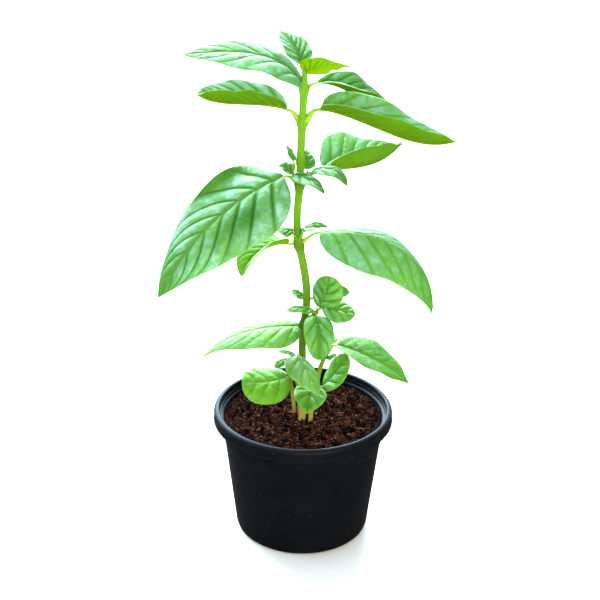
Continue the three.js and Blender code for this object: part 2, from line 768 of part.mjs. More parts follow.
// A leaf whose stalk starts at from and whose blade starts where the stalk ends.
function makeLeaf(leaf, from, grid, sides) {
  const start = from.clone().add(direction(leaf.heading, leaf.stalkRise).multiplyScalar(leaf.stalk));
  const { solid, line } = bladeSolid(leaf, start, grid);
  return solid.add(stalkSolid(leaf, from, start, line, sides));
}

// A shoot's own short stem, from inside its host.
function shootStem(route) {
  const points = route.map(([x, y, z]) => new THREE.Vector3(x, y, z));
  return tube(points, route.map((p) => p[3]), 6);
}

function makeShoot(spec) {
  let shoot = spec.stem ? stemSolid(STEMS[spec.stem]) : shootStem(spec.route);
  for (const leaf of spec.leaves) {
    shoot = shoot.add(makeLeaf({ ...SMALL_LEAF, ...leaf }, new THREE.Vector3(...leaf.from), SMALL, 5));
  }
  return shoot;
}

// The largest body left when a piece is cut clear of the given stems.
function clearOf(solid, stems) {
  let rest = solid;
  for (const stem of stems) rest = rest.subtract(stemSolid(STEMS[stem], GAP));
  return rest.decompose().reduce((a, b) => (a.volume() > b.volume() ? a : b));
}

// ---------------------------------------------------------------- assembly

const basil = new THREE.Group();

function addPiece(name, solid, material) {
  const mesh = new THREE.Mesh(geometryOf(solid), new THREE.MeshStandardMaterial(material));
  mesh.name = name;
  basil.add(mesh);
}

addPiece("pot", makePot(), MATERIAL.pot);
addPiece(
  "soil",
  makeSoil(Object.values(STEMS).map((stem) => stemSolid(stem, GAP))),
  MATERIAL.soil,
);
addPiece("main_stem", stemSolid(STEMS.main), MATERIAL.stem);
for (const [name, spec] of Object.entries(LEAVES)) {
  const leaf = makeLeaf({ ...LEAF, ...spec }, onStem(STEMS[spec.stem], spec.z), LARGE, 6);
  addPiece(name, clearOf(leaf, [spec.stem]), MATERIAL.leaf);
}
for (const [name, spec] of Object.entries(SHOOTS)) {
  addPiece(name, clearOf(makeShoot(spec), spec.host ? [spec.host] : []), MATERIAL.leaf);
}

export default basil;
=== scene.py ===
import math

import bmesh
import bpy
import numpy as np
from mathutils import Matrix, Vector, noise


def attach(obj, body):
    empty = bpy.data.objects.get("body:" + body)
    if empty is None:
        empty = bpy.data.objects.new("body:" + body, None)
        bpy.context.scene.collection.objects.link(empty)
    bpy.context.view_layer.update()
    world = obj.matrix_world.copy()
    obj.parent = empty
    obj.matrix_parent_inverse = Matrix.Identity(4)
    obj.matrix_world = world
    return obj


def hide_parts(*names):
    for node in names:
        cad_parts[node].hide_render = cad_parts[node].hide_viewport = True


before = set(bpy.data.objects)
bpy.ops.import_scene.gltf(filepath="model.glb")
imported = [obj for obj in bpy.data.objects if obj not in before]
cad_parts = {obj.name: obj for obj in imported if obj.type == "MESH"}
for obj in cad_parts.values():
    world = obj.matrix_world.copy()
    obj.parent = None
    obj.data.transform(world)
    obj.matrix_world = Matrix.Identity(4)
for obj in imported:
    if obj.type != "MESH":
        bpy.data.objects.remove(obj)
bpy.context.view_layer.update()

mm = 0.001
print("frame loaded with", len(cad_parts), "nodes")


def addObject(name, data):
    thing = bpy.data.objects.new(name, data)
    bpy.context.scene.collection.objects.link(thing)
    return thing


# small helpers that build node trees
def put(tree, kind, inputs=None, **settings):
    node = tree.nodes.new(kind)
    for name, value in settings.items():
        setattr(node, name, value)
    for name, value in (inputs or {}).items():
        if isinstance(value, bpy.types.NodeSocket):
            tree.links.new(value, node.inputs[name])
        else:
            node.inputs[name].default_value = value
    return node


def calc(tree, operation, *values, clamp=False):
    node = put(tree, "ShaderNodeMath", dict(enumerate(values)), operation=operation, use_clamp=clamp)
    return node.outputs[0]


def times(tree, *values, clamp=False):
    return calc(tree, "MULTIPLY", *values, clamp=clamp)


def between(tree, value, low, high, toLow=0.0, toHigh=1.0):
    inputs = {0: value, 1: low, 2: high, 3: toLow, 4: toHigh}
    return put(tree, "ShaderNodeMapRange", inputs, clamp=True).outputs[0]


# 1 up to start, falling to 0 at end
def fading(tree, value, start, end):
    return between(tree, value, start, end, 1.0, 0.0)


# spreads the usual values of a cloud over low to high
def fromCloud(tree, value, low=0.0, high=1.0):
    return between(tree, value, 0.3, 0.7, low, high)


def asColour(value):
    return value if isinstance(value, bpy.types.NodeSocket) else (*value, 1.0)


def blendColour(tree, share, first, second):
    inputs = {0: share, 6: asColour(first), 7: asColour(second)}
    return put(tree, "ShaderNodeMix", inputs, data_type="RGBA").outputs[2]


# lays a colour over another one where the mask says, as strongly as asked
def laidOver(tree, colour, over, mask, strength):
    return blendColour(tree, times(tree, mask, strength), colour, over)


def cloud(tree, where, scale, detail=2.0, roughness=0.5):
    inputs = {"Vector": where, "Scale": scale, "Detail": detail, "Roughness": roughness}
    return put(tree, "ShaderNodeTexNoise", inputs).outputs["Fac"]


def cells(tree, where, scale, feature="F1"):
    return put(tree, "ShaderNodeTexVoronoi", {"Vector": where, "Scale": scale}, feature=feature)


def spread(tree, value, stops):
    node = put(tree, "ShaderNodeValToRGB", {0: value})
    ramp = node.color_ramp
    while len(ramp.elements) < len(stops):
        ramp.elements.new(0.5)
    for element, (position, colour) in zip(ramp.elements, stops):
        element.position = position
        element.color = (*colour, 1.0)
    return node.outputs[0]


def objectPlace(tree):
    return put(tree, "ShaderNodeTexCoord").outputs["Object"]


def xyz(tree, vector):
    return put(tree, "ShaderNodeSeparateXYZ", {0: vector}).outputs


def vectorMath(tree, operation, *values, output=0):
    inputs = dict(enumerate(values))
    return put(tree, "ShaderNodeVectorMath", inputs, operation=operation).outputs[output]


def scaled(tree, vector, factor):
    return put(tree, "ShaderNodeVectorMath", {0: vector, "Scale": factor}, operation="SCALE").outputs[0]


def stretched(tree, where, scale):
    return put(tree, "ShaderNodeMapping", {0: where, 3: scale}).outputs[0]


def bumped(tree, height, depth, strength=1.0):
    inputs = {"Height": height, "Distance": depth, "Strength": strength}
    return put(tree, "ShaderNodeBump", inputs).outputs[0]


def startMaterial(name):
    material = bpy.data.materials.new(name)
    material.use_nodes = True
    material.node_tree.nodes.clear()
    return material, material.node_tree


def principled(tree, inputs):
    return put(tree, "ShaderNodeBsdfPrincipled", inputs).outputs[0]


def endMaterial(tree, shader):
    put(tree, "ShaderNodeOutputMaterial", {"Surface": shader})


# camera at the photograph's view of the plant
cameraSetup = {
    "distance": 850 * mm,  # from a point on the pot's axis
    "pivotHeight": 60 * mm,
    "elevation": 30.06,
    "lookDown": 24.64,
    "turn": -0.208,
    "roll": 0.73,
    "focalPixels": 1410.6,  # in a frame of framePixels
    "framePixels": 600,
    "sensorWidth": 36,
}


def makeCamera(setup):
    elevation, lookDown, turn, roll = (
        math.radians(setup[name]) for name in ("elevation", "lookDown", "turn", "roll")
    )
    level, rise = math.cos(elevation) * setup["distance"], math.sin(elevation) * setup["distance"]
    eye = Vector((0, -level, setup["pivotHeight"] + rise))
    flat = math.cos(lookDown)
    ahead = Vector((math.sin(turn) * flat, math.cos(turn) * flat, -math.sin(lookDown)))
    right = Vector((math.cos(turn), -math.sin(turn), 0))
    up = right.cross(ahead)
    right, up = (
        math.cos(roll) * right + math.sin(roll) * up,
        math.cos(roll) * up - math.sin(roll) * right,
    )
    lens = bpy.data.cameras.new("camera")
    lens.sensor_width = setup["sensorWidth"]
    lens.lens = setup["sensorWidth"] * setup["focalPixels"] / setup["framePixels"]
    lens.clip_start = 10 * mm
    camera = addObject("camera", lens)
    camera.matrix_world = Matrix.Translation(eye) @ Matrix((right, up, -ahead)).transposed().to_4x4()
    bpy.context.scene.camera = camera


makeCamera(cameraSetup)

# pale floor and soft light: a sky that is brightest high behind the plant, and two soft boxes
lightSetup = {
    "dome": (0.66, 0.86, 1.0),
    "domeStrength": 3.2,
    "domeFrom": (-0.38, 0.62, 0.68),  # where the sky is brightest
    "sides": (0.4, 0.36, 0.3),
    "ground": (0.04, 0.04, 0.035),
    "boxes": {
        "window": dict(at=(-0.45, 1.7, 1.35), size=2.0, watts=285, colour=(0.72, 0.88, 1.0)),
        "frontBox": dict(at=(0.5, -1.7, 0.45), size=1.4, watts=52, colour=(1.0, 0.93, 0.78)),
    },
    "aim": (0, 0, 0.16),
    "floorSize": 8.0,
    "floorColour": (0.9, 0.9, 0.9),
    "floorGrain": 0.97,  # how light the paper's darker grain is beside it
}


def makeSky(setup):
    world = bpy.data.worlds.new("studio")
    world.use_nodes = True
    tree = world.node_tree
    tree.nodes.clear()
    way = put(tree, "ShaderNodeTexCoord").outputs["Generated"]
    middle = Vector(setup["domeFrom"]).normalized()
    dome = between(tree, vectorMath(tree, "DOT_PRODUCT", way, middle, output="Value"), 0.15, 0.9)
    above = between(tree, xyz(tree, way)[2], -0.05, 0.12)
    bright = tuple(c * setup["domeStrength"] for c in setup["dome"])
    sky = blendColour(tree, dome, setup["sides"], bright)
    light = put(tree, "ShaderNodeBackground", {"Color": blendColour(tree, above, setup["ground"], sky)})
    seen = put(tree, "ShaderNodeBackground", {"Color": (1, 1, 1, 1)})
    camera = put(tree, "ShaderNodeLightPath").outputs["Is Camera Ray"]
    both = put(tree, "ShaderNodeMixShader", {0: camera, 1: light.outputs[0], 2: seen.outputs[0]})
    put(tree, "ShaderNodeOutputWorld", {"Surface": both.outputs[0]})
    bpy.context.scene.world = world


def makeSoftBox(name, at, size, watts, colour, aim):
    lamp = bpy.data.lights.new(name, "AREA")
    lamp.size, lamp.energy, lamp.color = size, watts, colour
    box = addObject(name, lamp)
    box.location = at
    box.rotation_euler = (Vector(aim) - Vector(at)).to_track_quat("-Z", "Y").to_euler()


def makeFloor(setup):
    half = setup["floorSize"] / 2
    mesh = bpy.data.meshes.new("floor")
    corners = [(-half, -half, 0), (half, -half, 0), (half, half, 0), (-half, half, 0)]
    mesh.from_pydata(corners, [], [(0, 1, 2, 3)])
    material, tree = startMaterial("palePaper")
    grain = cloud(tree, objectPlace(tree), 40.0, 3.0)
    tone = tuple(c * setup["floorGrain"] for c in setup["floorColour"])
    endMaterial(tree, principled(tree, {
        "Base Color": blendColour(tree, grain, tone, setup["floorColour"]),
        "Roughness": 0.9,
        "Specular IOR Level": 0.1,
    }))
    mesh.materials.append(material)
    floor = addObject("floor", mesh)
    floor.visible_glossy = False  # the pot and the leaves mirror only the sky and the soft boxes


makeSky(lightSetup)
makeFloor(lightSetup)
for boxName, box in lightSetup["boxes"].items():
    makeSoftBox(boxName, aim=lightSetup["aim"], **box)
bpy.context.scene.view_settings.view_transform = "Standard"
print("camera, floor and light ready")

# stems: route points (x, y, z, radius) in millimetres, joints are the heights where a pair of leaves joins
stemTable = {
    "main": dict(swell=1.45, joints=[132, 183, 219, 254, 273], route=[
        (-0.6, 0, 34, 0.9), (-0.6, 0, 66, 2.4), (-0.7, 0, 100, 2.35), (-0.9, 0, 124, 2.3),
        (0.3, 0, 138, 2.3), (1.2, 0, 149, 2.35), (0.4, 0, 161, 2.4), (-2.2, 0, 176, 2.4),
        (-4.3, 0, 186, 2.35), (-4.9, 0, 200, 2.3), (-3.8, 0, 216, 2.4), (-3.4, 0, 232, 2.35),
        (-2.9, 0, 248, 2.3), (-2.4, 0, 261, 2.2), (-2, 0, 272, 2.2), (-1.7, 0, 281, 1.6),
        (-1.5, 0, 286, 1),
    ]),
    "front": dict(swell=1.4, joints=[96, 122], route=[
        (4, -3, 46, 0.6), (4.2, -3.2, 68, 1.4), (5.4, -5.5, 84, 1.5), (7.6, -8, 96, 1.5),
        (9, -9, 107, 1.4), (12, -9.6, 117, 1.3), (14.4, -10, 123, 1.3), (14.9, -10, 127, 0.8),
    ]),
    "left": dict(swell=1.3, joints=[97], route=[
        (-5, 7, 48, 0.5), (-5.1, 7, 68, 1.1), (-6, 4, 82, 1.2), (-7.5, 1, 94, 1.1), (-8, 0, 99.5, 0.9),
    ]),
    "back": dict(swell=1.3, joints=[105], route=[
        (-2, 8, 50, 0.5), (-2.1, 8, 68, 1.1), (-3, 6.8, 86, 1.1), (-5, 5.4, 98, 1), (-7.5, 4.5, 107, 0.9),
    ]),
}

# the columns of a leaf's shape, in degrees, millimetres or shares of the blade
shapeColumns = (
    "heading",  # where the leaf points, counted from the viewer's right
    "stalk", "stalkRise",  # length and pitch of the stalk
    "length", "width",
    "rise", "droop", "sweep",  # the midrib's pitch at its root, how far it falls and how far it turns
    "roll", "twist", "fold", "curl",  # how the blade turns, folds up and bends back
    "belly", "point",  # where it is widest, and how slender its tip is
    "flick", "arch",  # a last bend upwards, and how late the droop comes
)
# what most leaves share
leafShape = dict(
    stalkRadius=1.1,
    wave=0.6, waves=2.5,  # waves of the margin
    puff=1.0,  # bulges between the side veins
    crest=0,  # how high the right half's margin rears up near the base
    veins=8, slant=0.38,  # number of side veins, and how far they lean forward
    keel=0.9, thickness=0.42,  # height of the midrib below, and thickness of the blade
    narrow=0.36,  # where the blade is narrower than this share of its width, it folds less
    deep=0.45, paintedSheenShare=0.5, paintedSheenTip=0, veined=0.8, hollowShade=0,  # how dark its green is, how strongly a painted sky reflection washes it, also towards its tip, how veined it is, and how deep the painted shade in its hollow by the stem is
)
smallShape = leafShape | dict(
    stalkRadius=0.65, wave=0.3, waves=2, puff=0.9, veins=4, keel=0.4, thickness=0.4, deep=0.3, paintedSheenShare=0.3,
    veined=0.6,
)
leafMesh = {
    "rowsPerVein": 12,
    "columns": 20,  # on each side of the midrib
    "smallRowsPerVein": 8,
    "smallColumns": 11,
    "stalkSides": 12,
    "stalkFlare": 0.45,  # how much thicker a stalk is where it joins
    "furrow": 0.8,  # below 1 the blade dips sharply at its side veins
    "crowding": 1.25,  # above 1 the side veins stand closer together near the base
    "quilt": 0.3,  # height of the small uneven puckers, mm
    "groove": 0.45,  # depth of the channel along the midrib, mm
    "channel": 0.18,  # depth of the channels along the side veins, mm
    "ridge": 0.22,  # height of the side veins on the underside, mm
    "crestAt": 0.3,  # where along the blade a crest and a hollow lie, as shares of its length
    "crestSpread": 0.18,
    "hollowAt": 0.34,
    "hollowSpread": 0.2,
}
# large leaves: the stem and height where each joins, its columns, and its own look
leafTable = {
    "crown_leaf_left": dict(
        joins=("main", 270),
        shape=(184, 3, 76, 73.5, 37.5, 84, 112, 20, -10, -7, 12, 31, 0.39, 1.05, 31, 0.55),
        look=dict(wave=0.8, puff=0.8, veins=6, deep=0.4, paintedSheenShare=0.7, paintedSheenTip=0.7, veined=0.4),
    ),
    "crown_leaf_right": dict(
        joins=("main", 272),
        shape=(23.8, 8, 30.7, 54.6, 26, 2.2, 61, 6.3, 26.4, -23.4, 47.8, 21.5, 0.525, 0.93, 60, 0.575),
        look=dict(puff=0.9, deep=0.6),
    ),
    "crown_leaf_back": dict(
        joins=("main", 282), shape=(123, 4, 66, 27, 18.5, 54, 41, 15, 3, -6, 13, 10, 0.37, 1.05, 0, 1),
        look=dict(puff=0.6, deep=0.1, paintedSheenShare=3.0),
    ),
    "crown_leaf_front": dict(
        joins=("main", 281), shape=(-41, 1, 40, 28.5, 20, 42, 65, 22, -38, 7, 22, 30, 0.35, 1, 32, 0.95),
        look=dict(puff=0.6, deep=-1.0, paintedSheenShare=0, veined=0.3),
    ),
    "upper_leaf_left": dict(
        joins=("main", 253), shape=(182, 12, 49, 51.5, 28.5, 14, 36, 22, -6, 8, 60, 25, 0.5, 0.55, 62, 1.05),
        look=dict(stalkRadius=1.6, puff=0.7, deep=0.0, paintedSheenShare=3.0, veined=0.4),
    ),
    "upper_leaf_right": dict(
        joins=("main", 253),
        shape=(-15.4, 14, 45.7, 77, 31, -2.7, 42.3, 15, 18.7, -33, 60, 17, 0.4, 0.63, 67, 0.72),
        look=dict(stalkRadius=1.7, puff=0.8, deep=0.2, paintedSheenShare=0.9, veined=0.4),
    ),
    "high_leaf_left": dict(
        joins=("main", 219),
        shape=(204.7, 11, 31.5, 98.5, 54.2, -14.5, 45.7, 10.7, -24.6, 3.5, -2.3, 28.5, 0.3, 0.97, 3.6, 1),
        look=dict(
            stalkRadius=1.25, wave=0.8, puff=1.5, crest=11, deep=0.6, paintedSheenShare=1.1,
            paintedSheenTip=-0.6, veined=0.9, hollowShade=1.0,
        ),
    ),
    "high_leaf_right": dict(
        joins=("main", 219), shape=(32, 16, 24, 64, 49, -11, -8, 16, 0, -9, 53, 20, 0.35, 0.95, 43, 0.95),
        look=dict(stalkRadius=1.3, puff=0.9, deep=0.1, paintedSheenShare=0.6, veined=0.3),
    ),
    "middle_leaf_right": dict(
        joins=("main", 183),
        shape=(-20, 15, 38, 92.5, 43.5, 14, 98, 15, 17, -4, -21, 15, 0.37, 0.85, -14, 1.25),
        look=dict(puff=0.5, deep=0.2, paintedSheenShare=0.8, paintedSheenTip=-0.7, veined=0.15),
    ),
    "middle_leaf_left": dict(
        joins=("main", 183), shape=(207, 7, 16, 37, 25.5, 14, 63, 20, 13, -10, 30, 8, 0.42, 0.9, -11, 0.9),
        look=dict(puff=0.3, deep=-0.35, paintedSheenShare=0, veined=0.2),
    ),
    "low_leaf_left": dict(
        joins=("main", 131), shape=(201, 1, 39, 64.5, 32, 12, 45, -14, -17, 23, 2, 35, 0.33, 1.25, -19, 1.15),
        look=dict(puff=0.3, deep=-0.25, paintedSheenShare=0.3, paintedSheenTip=0.9, veined=0.3),
    ),
    "low_leaf_right": dict(
        joins=("front", 122.5), shape=(-4, 5, 31, 49, 30.5, -13, 30, -1, 1, 14, 22, 27, 0.36, 1.05, 3, 0.95),
        look=dict(puff=0.1, deep=0.3, paintedSheenShare=0.1, veined=0.1),
    ),
}
# shoots of small leaves, each leaf with its root and its columns
shootTable = {
    "high_shoot_left": dict(
        look=dict(deep=0.7, paintedSheenShare=0.6),
        route=[(-3.6, -1, 220.5, 1.2), (-5.8, -4.5, 223.5, 1.1), (-7.2, -6, 226, 1), (-6.6, -4.8, 232, 0.8)],
        leaves=[
            ((-6.6, -4.8, 231.6), (118, 2, 58, 11, 5.5, 46, 17, 2, 14, 6, 14, 8, 0.4, 0.75, 2, 1)),
            ((-7.2, -6, 226), (163, 1, 42, 9.5, 11.5, 40, 38, -4, -14, 9, 25, 6, 0.39, 0.8, -8, 1)),
            ((-7.2, -6, 225.5), (-33, 1, 75, 23, 14, -4, 11, -13, 13, -37, 13, 31, 0.38, 0.75, -24, 1)),
        ],
    ),
    "high_shoot_right": dict(
        look=dict(deep=0.5, paintedSheenShare=0.6),
        route=[(-3.4, 0, 220, 1.2), (-1.2, -1.2, 223.5, 1.1), (1, -2.8, 226.5, 0.9)],
        leaves=[
            ((1, -2.8, 226.5), (-15, 1.5, 21, 25, 13.5, 25, 86, -11, 6, -4, 1, 11, 0.39, 0.7, -15, 1.4)),
            ((0.5, -2.4, 226), (94, 2.5, 46, 12, 13, 68, 44, -4, 21, -2, -1, 32, 0.37, 0.75, 0, 1)),
        ],
    ),
    "middle_shoot_right": dict(
        route=[(-4.2, 0, 185, 1.2), (-3, -1.8, 188, 1.1), (-2, -2.7, 191, 1), (-1.6, -2.8, 194, 0.8)],
        leaves=[
            ((-1.6, -2.8, 193.2), (30, 1, 44, 17.5, 6.5, 15, 50, 11, -7, 44, 6, 37, 0.42, 0.75, -8, 1.05)),
            ((-2, -2.7, 191), (-45, 1, 50, 10, 8.5, 32, 20, 0, 0, -9, 4, 33, 0.38, 0.8, 11, 1)),
        ],
    ),
    "middle_shoot_left": dict(
        route=[(-4.5, -0.6, 186, 1.2), (-5.8, -3.2, 189, 1), (-7, -4.4, 191.4, 0.8)],
        leaves=[
            ((-7, -4.4, 191), (176, 1, 80, 9, 11, 15, 21, -9, -15, 16, 4, 22, 0.35, 0.7, 6, 1)),
        ],
    ),
    "side_shoot_front": dict(
        look=dict(deep=0.0, paintedSheenShare=0.45, puff=1.2, veined=0.6),
        route=[(0, 0, 134, 1.5), (3, -4, 138.5, 1.4), (6.3, -7.5, 143, 1.4), (7.6, -8, 146.5, 1.1)],
        leaves=[
            ((7.6, -8, 146.3), (47, 1.5, 21, 19.5, 21, 52, -13, 12, -1, 14, -5, 20, 0.45, 0.65, 36, 0.95)),
            ((7.6, -8, 146), (-12, 3, 21, 19, 18.5, 5, 36, 12, 8, 22, 5, 23, 0.44, 0.7, 26, 1)),
            ((7.2, -8, 145.5), (198, 1.5, 3, 17, 8.5, 18, 3, -11, 2, -17, 2, 24, 0.38, 0.6, -49, 1.05)),
            ((6.6, -7.8, 144), (-84, 4.5, 0, 29, 17.5, -14, 97, 3, -6, 8, 12, 10, 0.37, 0.7, -10, 1.1)),
        ],
    ),
    "side_shoot_back": dict(
        route=[(0.3, 0, 138, 1.3), (1.6, 3, 142, 1.1), (2.4, 5.5, 147, 0.9)],
        leaves=[
            ((2.4, 5.5, 146.8), (176, 2.5, 9, 9, 8.5, 35, 12, -18, -6, -1, 7, 23, 0.4, 0.75, 0, 1)),
            ((2.4, 5.5, 146.5), (14, 5.5, 14, 20, 12, 14, 30, 12, 15, 35, 30, 16, 0.4, 0.75, 0, 1)),
        ],
    ),
    "foot_shoot": dict(
        look=dict(deep=-0.4, paintedSheenShare=0.6, puff=0.8, veined=0.4),
        route=[(-0.8, 0, 108, 1.4), (-2.6, -2.4, 111.5, 1.2), (-3.4, -3.6, 115, 1)],
        leaves=[
            ((-3.2, -3.4, 114.5), (-79, 2, 18, 30.5, 22.5, 6, 53, 30, -19, 8, -7, 28, 0.36, 0.65, 12, 0.8)),
            ((-3.4, -3.6, 114.8), (203, 1.5, 9, 12, 6.5, 33, 25, -7, -8, 12, 12, 39, 0.38, 0.75, 0, 1)),
        ],
    ),
    "front_shoot": dict(
        look=dict(deep=-0.05, paintedSheenShare=0.2, puff=0.8, veined=0.4),
        stem="front",
        leaves=[
            ((7.9, -8.2, 97), (-8, 3.5, 3, 25.5, 18.5, 48, -18, 5, 16, 30, 2, 8, 0.38, 0.5, 2, 1)),
            ((7.4, -8, 95.5), (-112, 1.5, 36, 21, 20, 4, 55, 14, 0, -14, 22, 18, 0.42, 0.9, 13, 1)),
            ((14, -9.4, 123), (62, 2, 30, 8, 6, 25, 30, 0, 10, 0, 20, 15, 0.41, 0.75, 0, 1)),
            ((12, -9.6, 117), (-24, 1, 4, 7, 6.5, 15, -22, 15, -4, 20, -2, 28, 0.34, 0.75, 0, 1)),
        ],
    ),
    "left_shoot": dict(
        look=dict(deep=-0.15, paintedSheenShare=0, veined=0.4),
        stem="left",
        leaves=[
            ((-8, 0, 98.6), (199, 1, 31, 29, 28, -16, -35, 0, -25, -12, -2, 27, 0.48, 0.45, 0, 1)),
        ],
    ),
    "back_shoot": dict(
        look=dict(deep=0.1, paintedSheenShare=0.2),
        stem="back",
        leaves=[
            ((-7.5, 4.5, 106.6), (174, 1.5, 35, 10.5, 8, -10, 44, 4, -3, -29, 5, 35, 0.44, 0.75, 0, 1)),
        ],
    ),
}


# what a leaf shares with others, its columns and its own look, in one
def leafValues(common, shape, look):
    return common | dict(zip(shapeColumns, shape)) | look


def direction(heading, pitch):
    heading, pitch = np.radians(heading), np.radians(pitch)
    flat = np.cos(pitch)
    return np.stack([flat * np.cos(heading), flat * np.sin(heading), np.sin(pitch)], -1)


def unit(vectors):
    return vectors / np.maximum(np.linalg.norm(vectors, axis=-1, keepdims=True), 1e-9)


def midrib(leaf, start, steps=80):
    def course(s):
        pitch = leaf["rise"] - leaf["droop"] * s ** leaf["arch"] + leaf["flick"] * s ** 3
        return direction(leaf["heading"] + leaf["sweep"] * s, pitch)

    s = np.linspace(0, 1, steps + 1)
    heading = np.radians(leaf["heading"] + leaf["sweep"] * s)
    along = course(s)
    level = np.stack([-np.sin(heading), np.cos(heading), 0 * s], -1)
    turn = np.radians(leaf["roll"] + leaf["twist"] * s)[:, None]
    across = level * np.cos(turn) + np.cross(along, level) * np.sin(turn)
    steps3 = course((s[:-1] + s[1:]) / 2) * leaf["length"] / steps
    points = start + np.vstack([np.zeros(3), np.cumsum(steps3, 0)])
    return dict(s=s, point=points, along=along, across=across, up=np.cross(along, across))


def alongRib(line, name, s):
    return np.stack([np.interp(s, line["s"], line[name][:, i]) for i in range(3)], -1)


def halfWidth(leaf, s):
    a = leaf["point"] * leaf["belly"] / (1 - leaf["belly"])
    peak = leaf["belly"] ** a * (1 - leaf["belly"]) ** leaf["point"]
    return leaf["width"] / 2 * s ** a * (1 - s) ** leaf["point"] / peak


def ripple(x, y, seed):
    total = 0
    for k in range(4):
        a, b = 0.45 + 0.24 * k, 0.5 + 0.6 * ((k * 7 + seed) % 5) / 5
        total = total + np.sin(a * x + seed + k) * np.sin(b * y + 2.1 * k + 0.7 * seed)
    return total / 4


# how much of the crest a point of the blade has
def rearing(s, u):
    reach = (s - leafMesh["crestAt"]) / leafMesh["crestSpread"]
    return np.clip(-2 * u - 1, 0, 1) ** 1.3 * np.exp(-(reach ** 2))


# the blade's middle surface for vein rows t and shares across u, both arrays of one shape
def bladeSurface(leaf, line, t, u, seed):
    out, side = np.abs(u), np.sign(u)
    s = np.clip(t + leaf["slant"] * out ** 1.15 * np.sin(np.pi * t ** 0.75), 0, 1)
    w = halfWidth(leaf, s)
    full = np.minimum(1, 2 * w / (leaf["narrow"] * leaf["width"]))
    fold, curl = np.radians(leaf["fold"]) * full, np.radians(leaf["curl"])
    bent = fold - curl * out
    across = w * (np.sin(fold) - np.sin(bent)) / curl
    lift = w * (np.cos(bent) - np.cos(fold)) / curl
    dip = np.abs(np.sin(np.pi * leaf["veins"] * t ** (1 / leafMesh["crowding"]))) ** leafMesh["furrow"]
    room = np.minimum(1, w / 6)
    bulge = leaf["puff"] * np.sin(np.pi * out ** 0.7) * dip * (1.1 - 0.75 * t ** 2)
    wave = leaf["wave"] * out ** 2 * np.sin(2 * np.pi * leaf["waves"] * s + side) * np.sin(np.pi * s)
    crest = leaf["crest"] * rearing(s, u)
    quilt = leafMesh["quilt"] * ripple(s * leaf["length"], u * w, seed)
    quilt = quilt * np.sin(np.pi * np.minimum(1, out * 1.15))
    sideways = side * (across - 0.4 * crest)
    upwards = lift + (bulge + quilt) * room + wave + crest
    place = alongRib(line, "point", s) + unit(alongRib(line, "across", s)) * sideways[..., None]
    place = place + unit(alongRib(line, "up", s)) * upwards[..., None]
    return place, s, w, full


def columnsOf(count, edge):
    inner = np.linspace(0, 1, count + 1) ** 1.35
    half = np.concatenate([edge[:, None] * inner, np.ones((len(edge), 1))], 1)
    return np.concatenate([-half[:, :0:-1], half], 1)


def rowsOf(veins, count):
    phase = np.linspace(-0.5, 0.5, count, endpoint=False) + 0.5 / count
    phase = np.sign(phase) * np.abs(2 * phase) ** 1.6 / 2
    rows = (np.arange(veins)[:, None] + 0.5 + phase).ravel() / veins
    veinRows = np.arange(1, veins) / veins
    rows = np.concatenate([rows, veinRows]) ** leafMesh["crowding"]
    tips = [0.004, 0.012, 0.988, 0.996]
    return np.unique(np.round(np.concatenate([rows[rows > 0.001], tips]), 5))


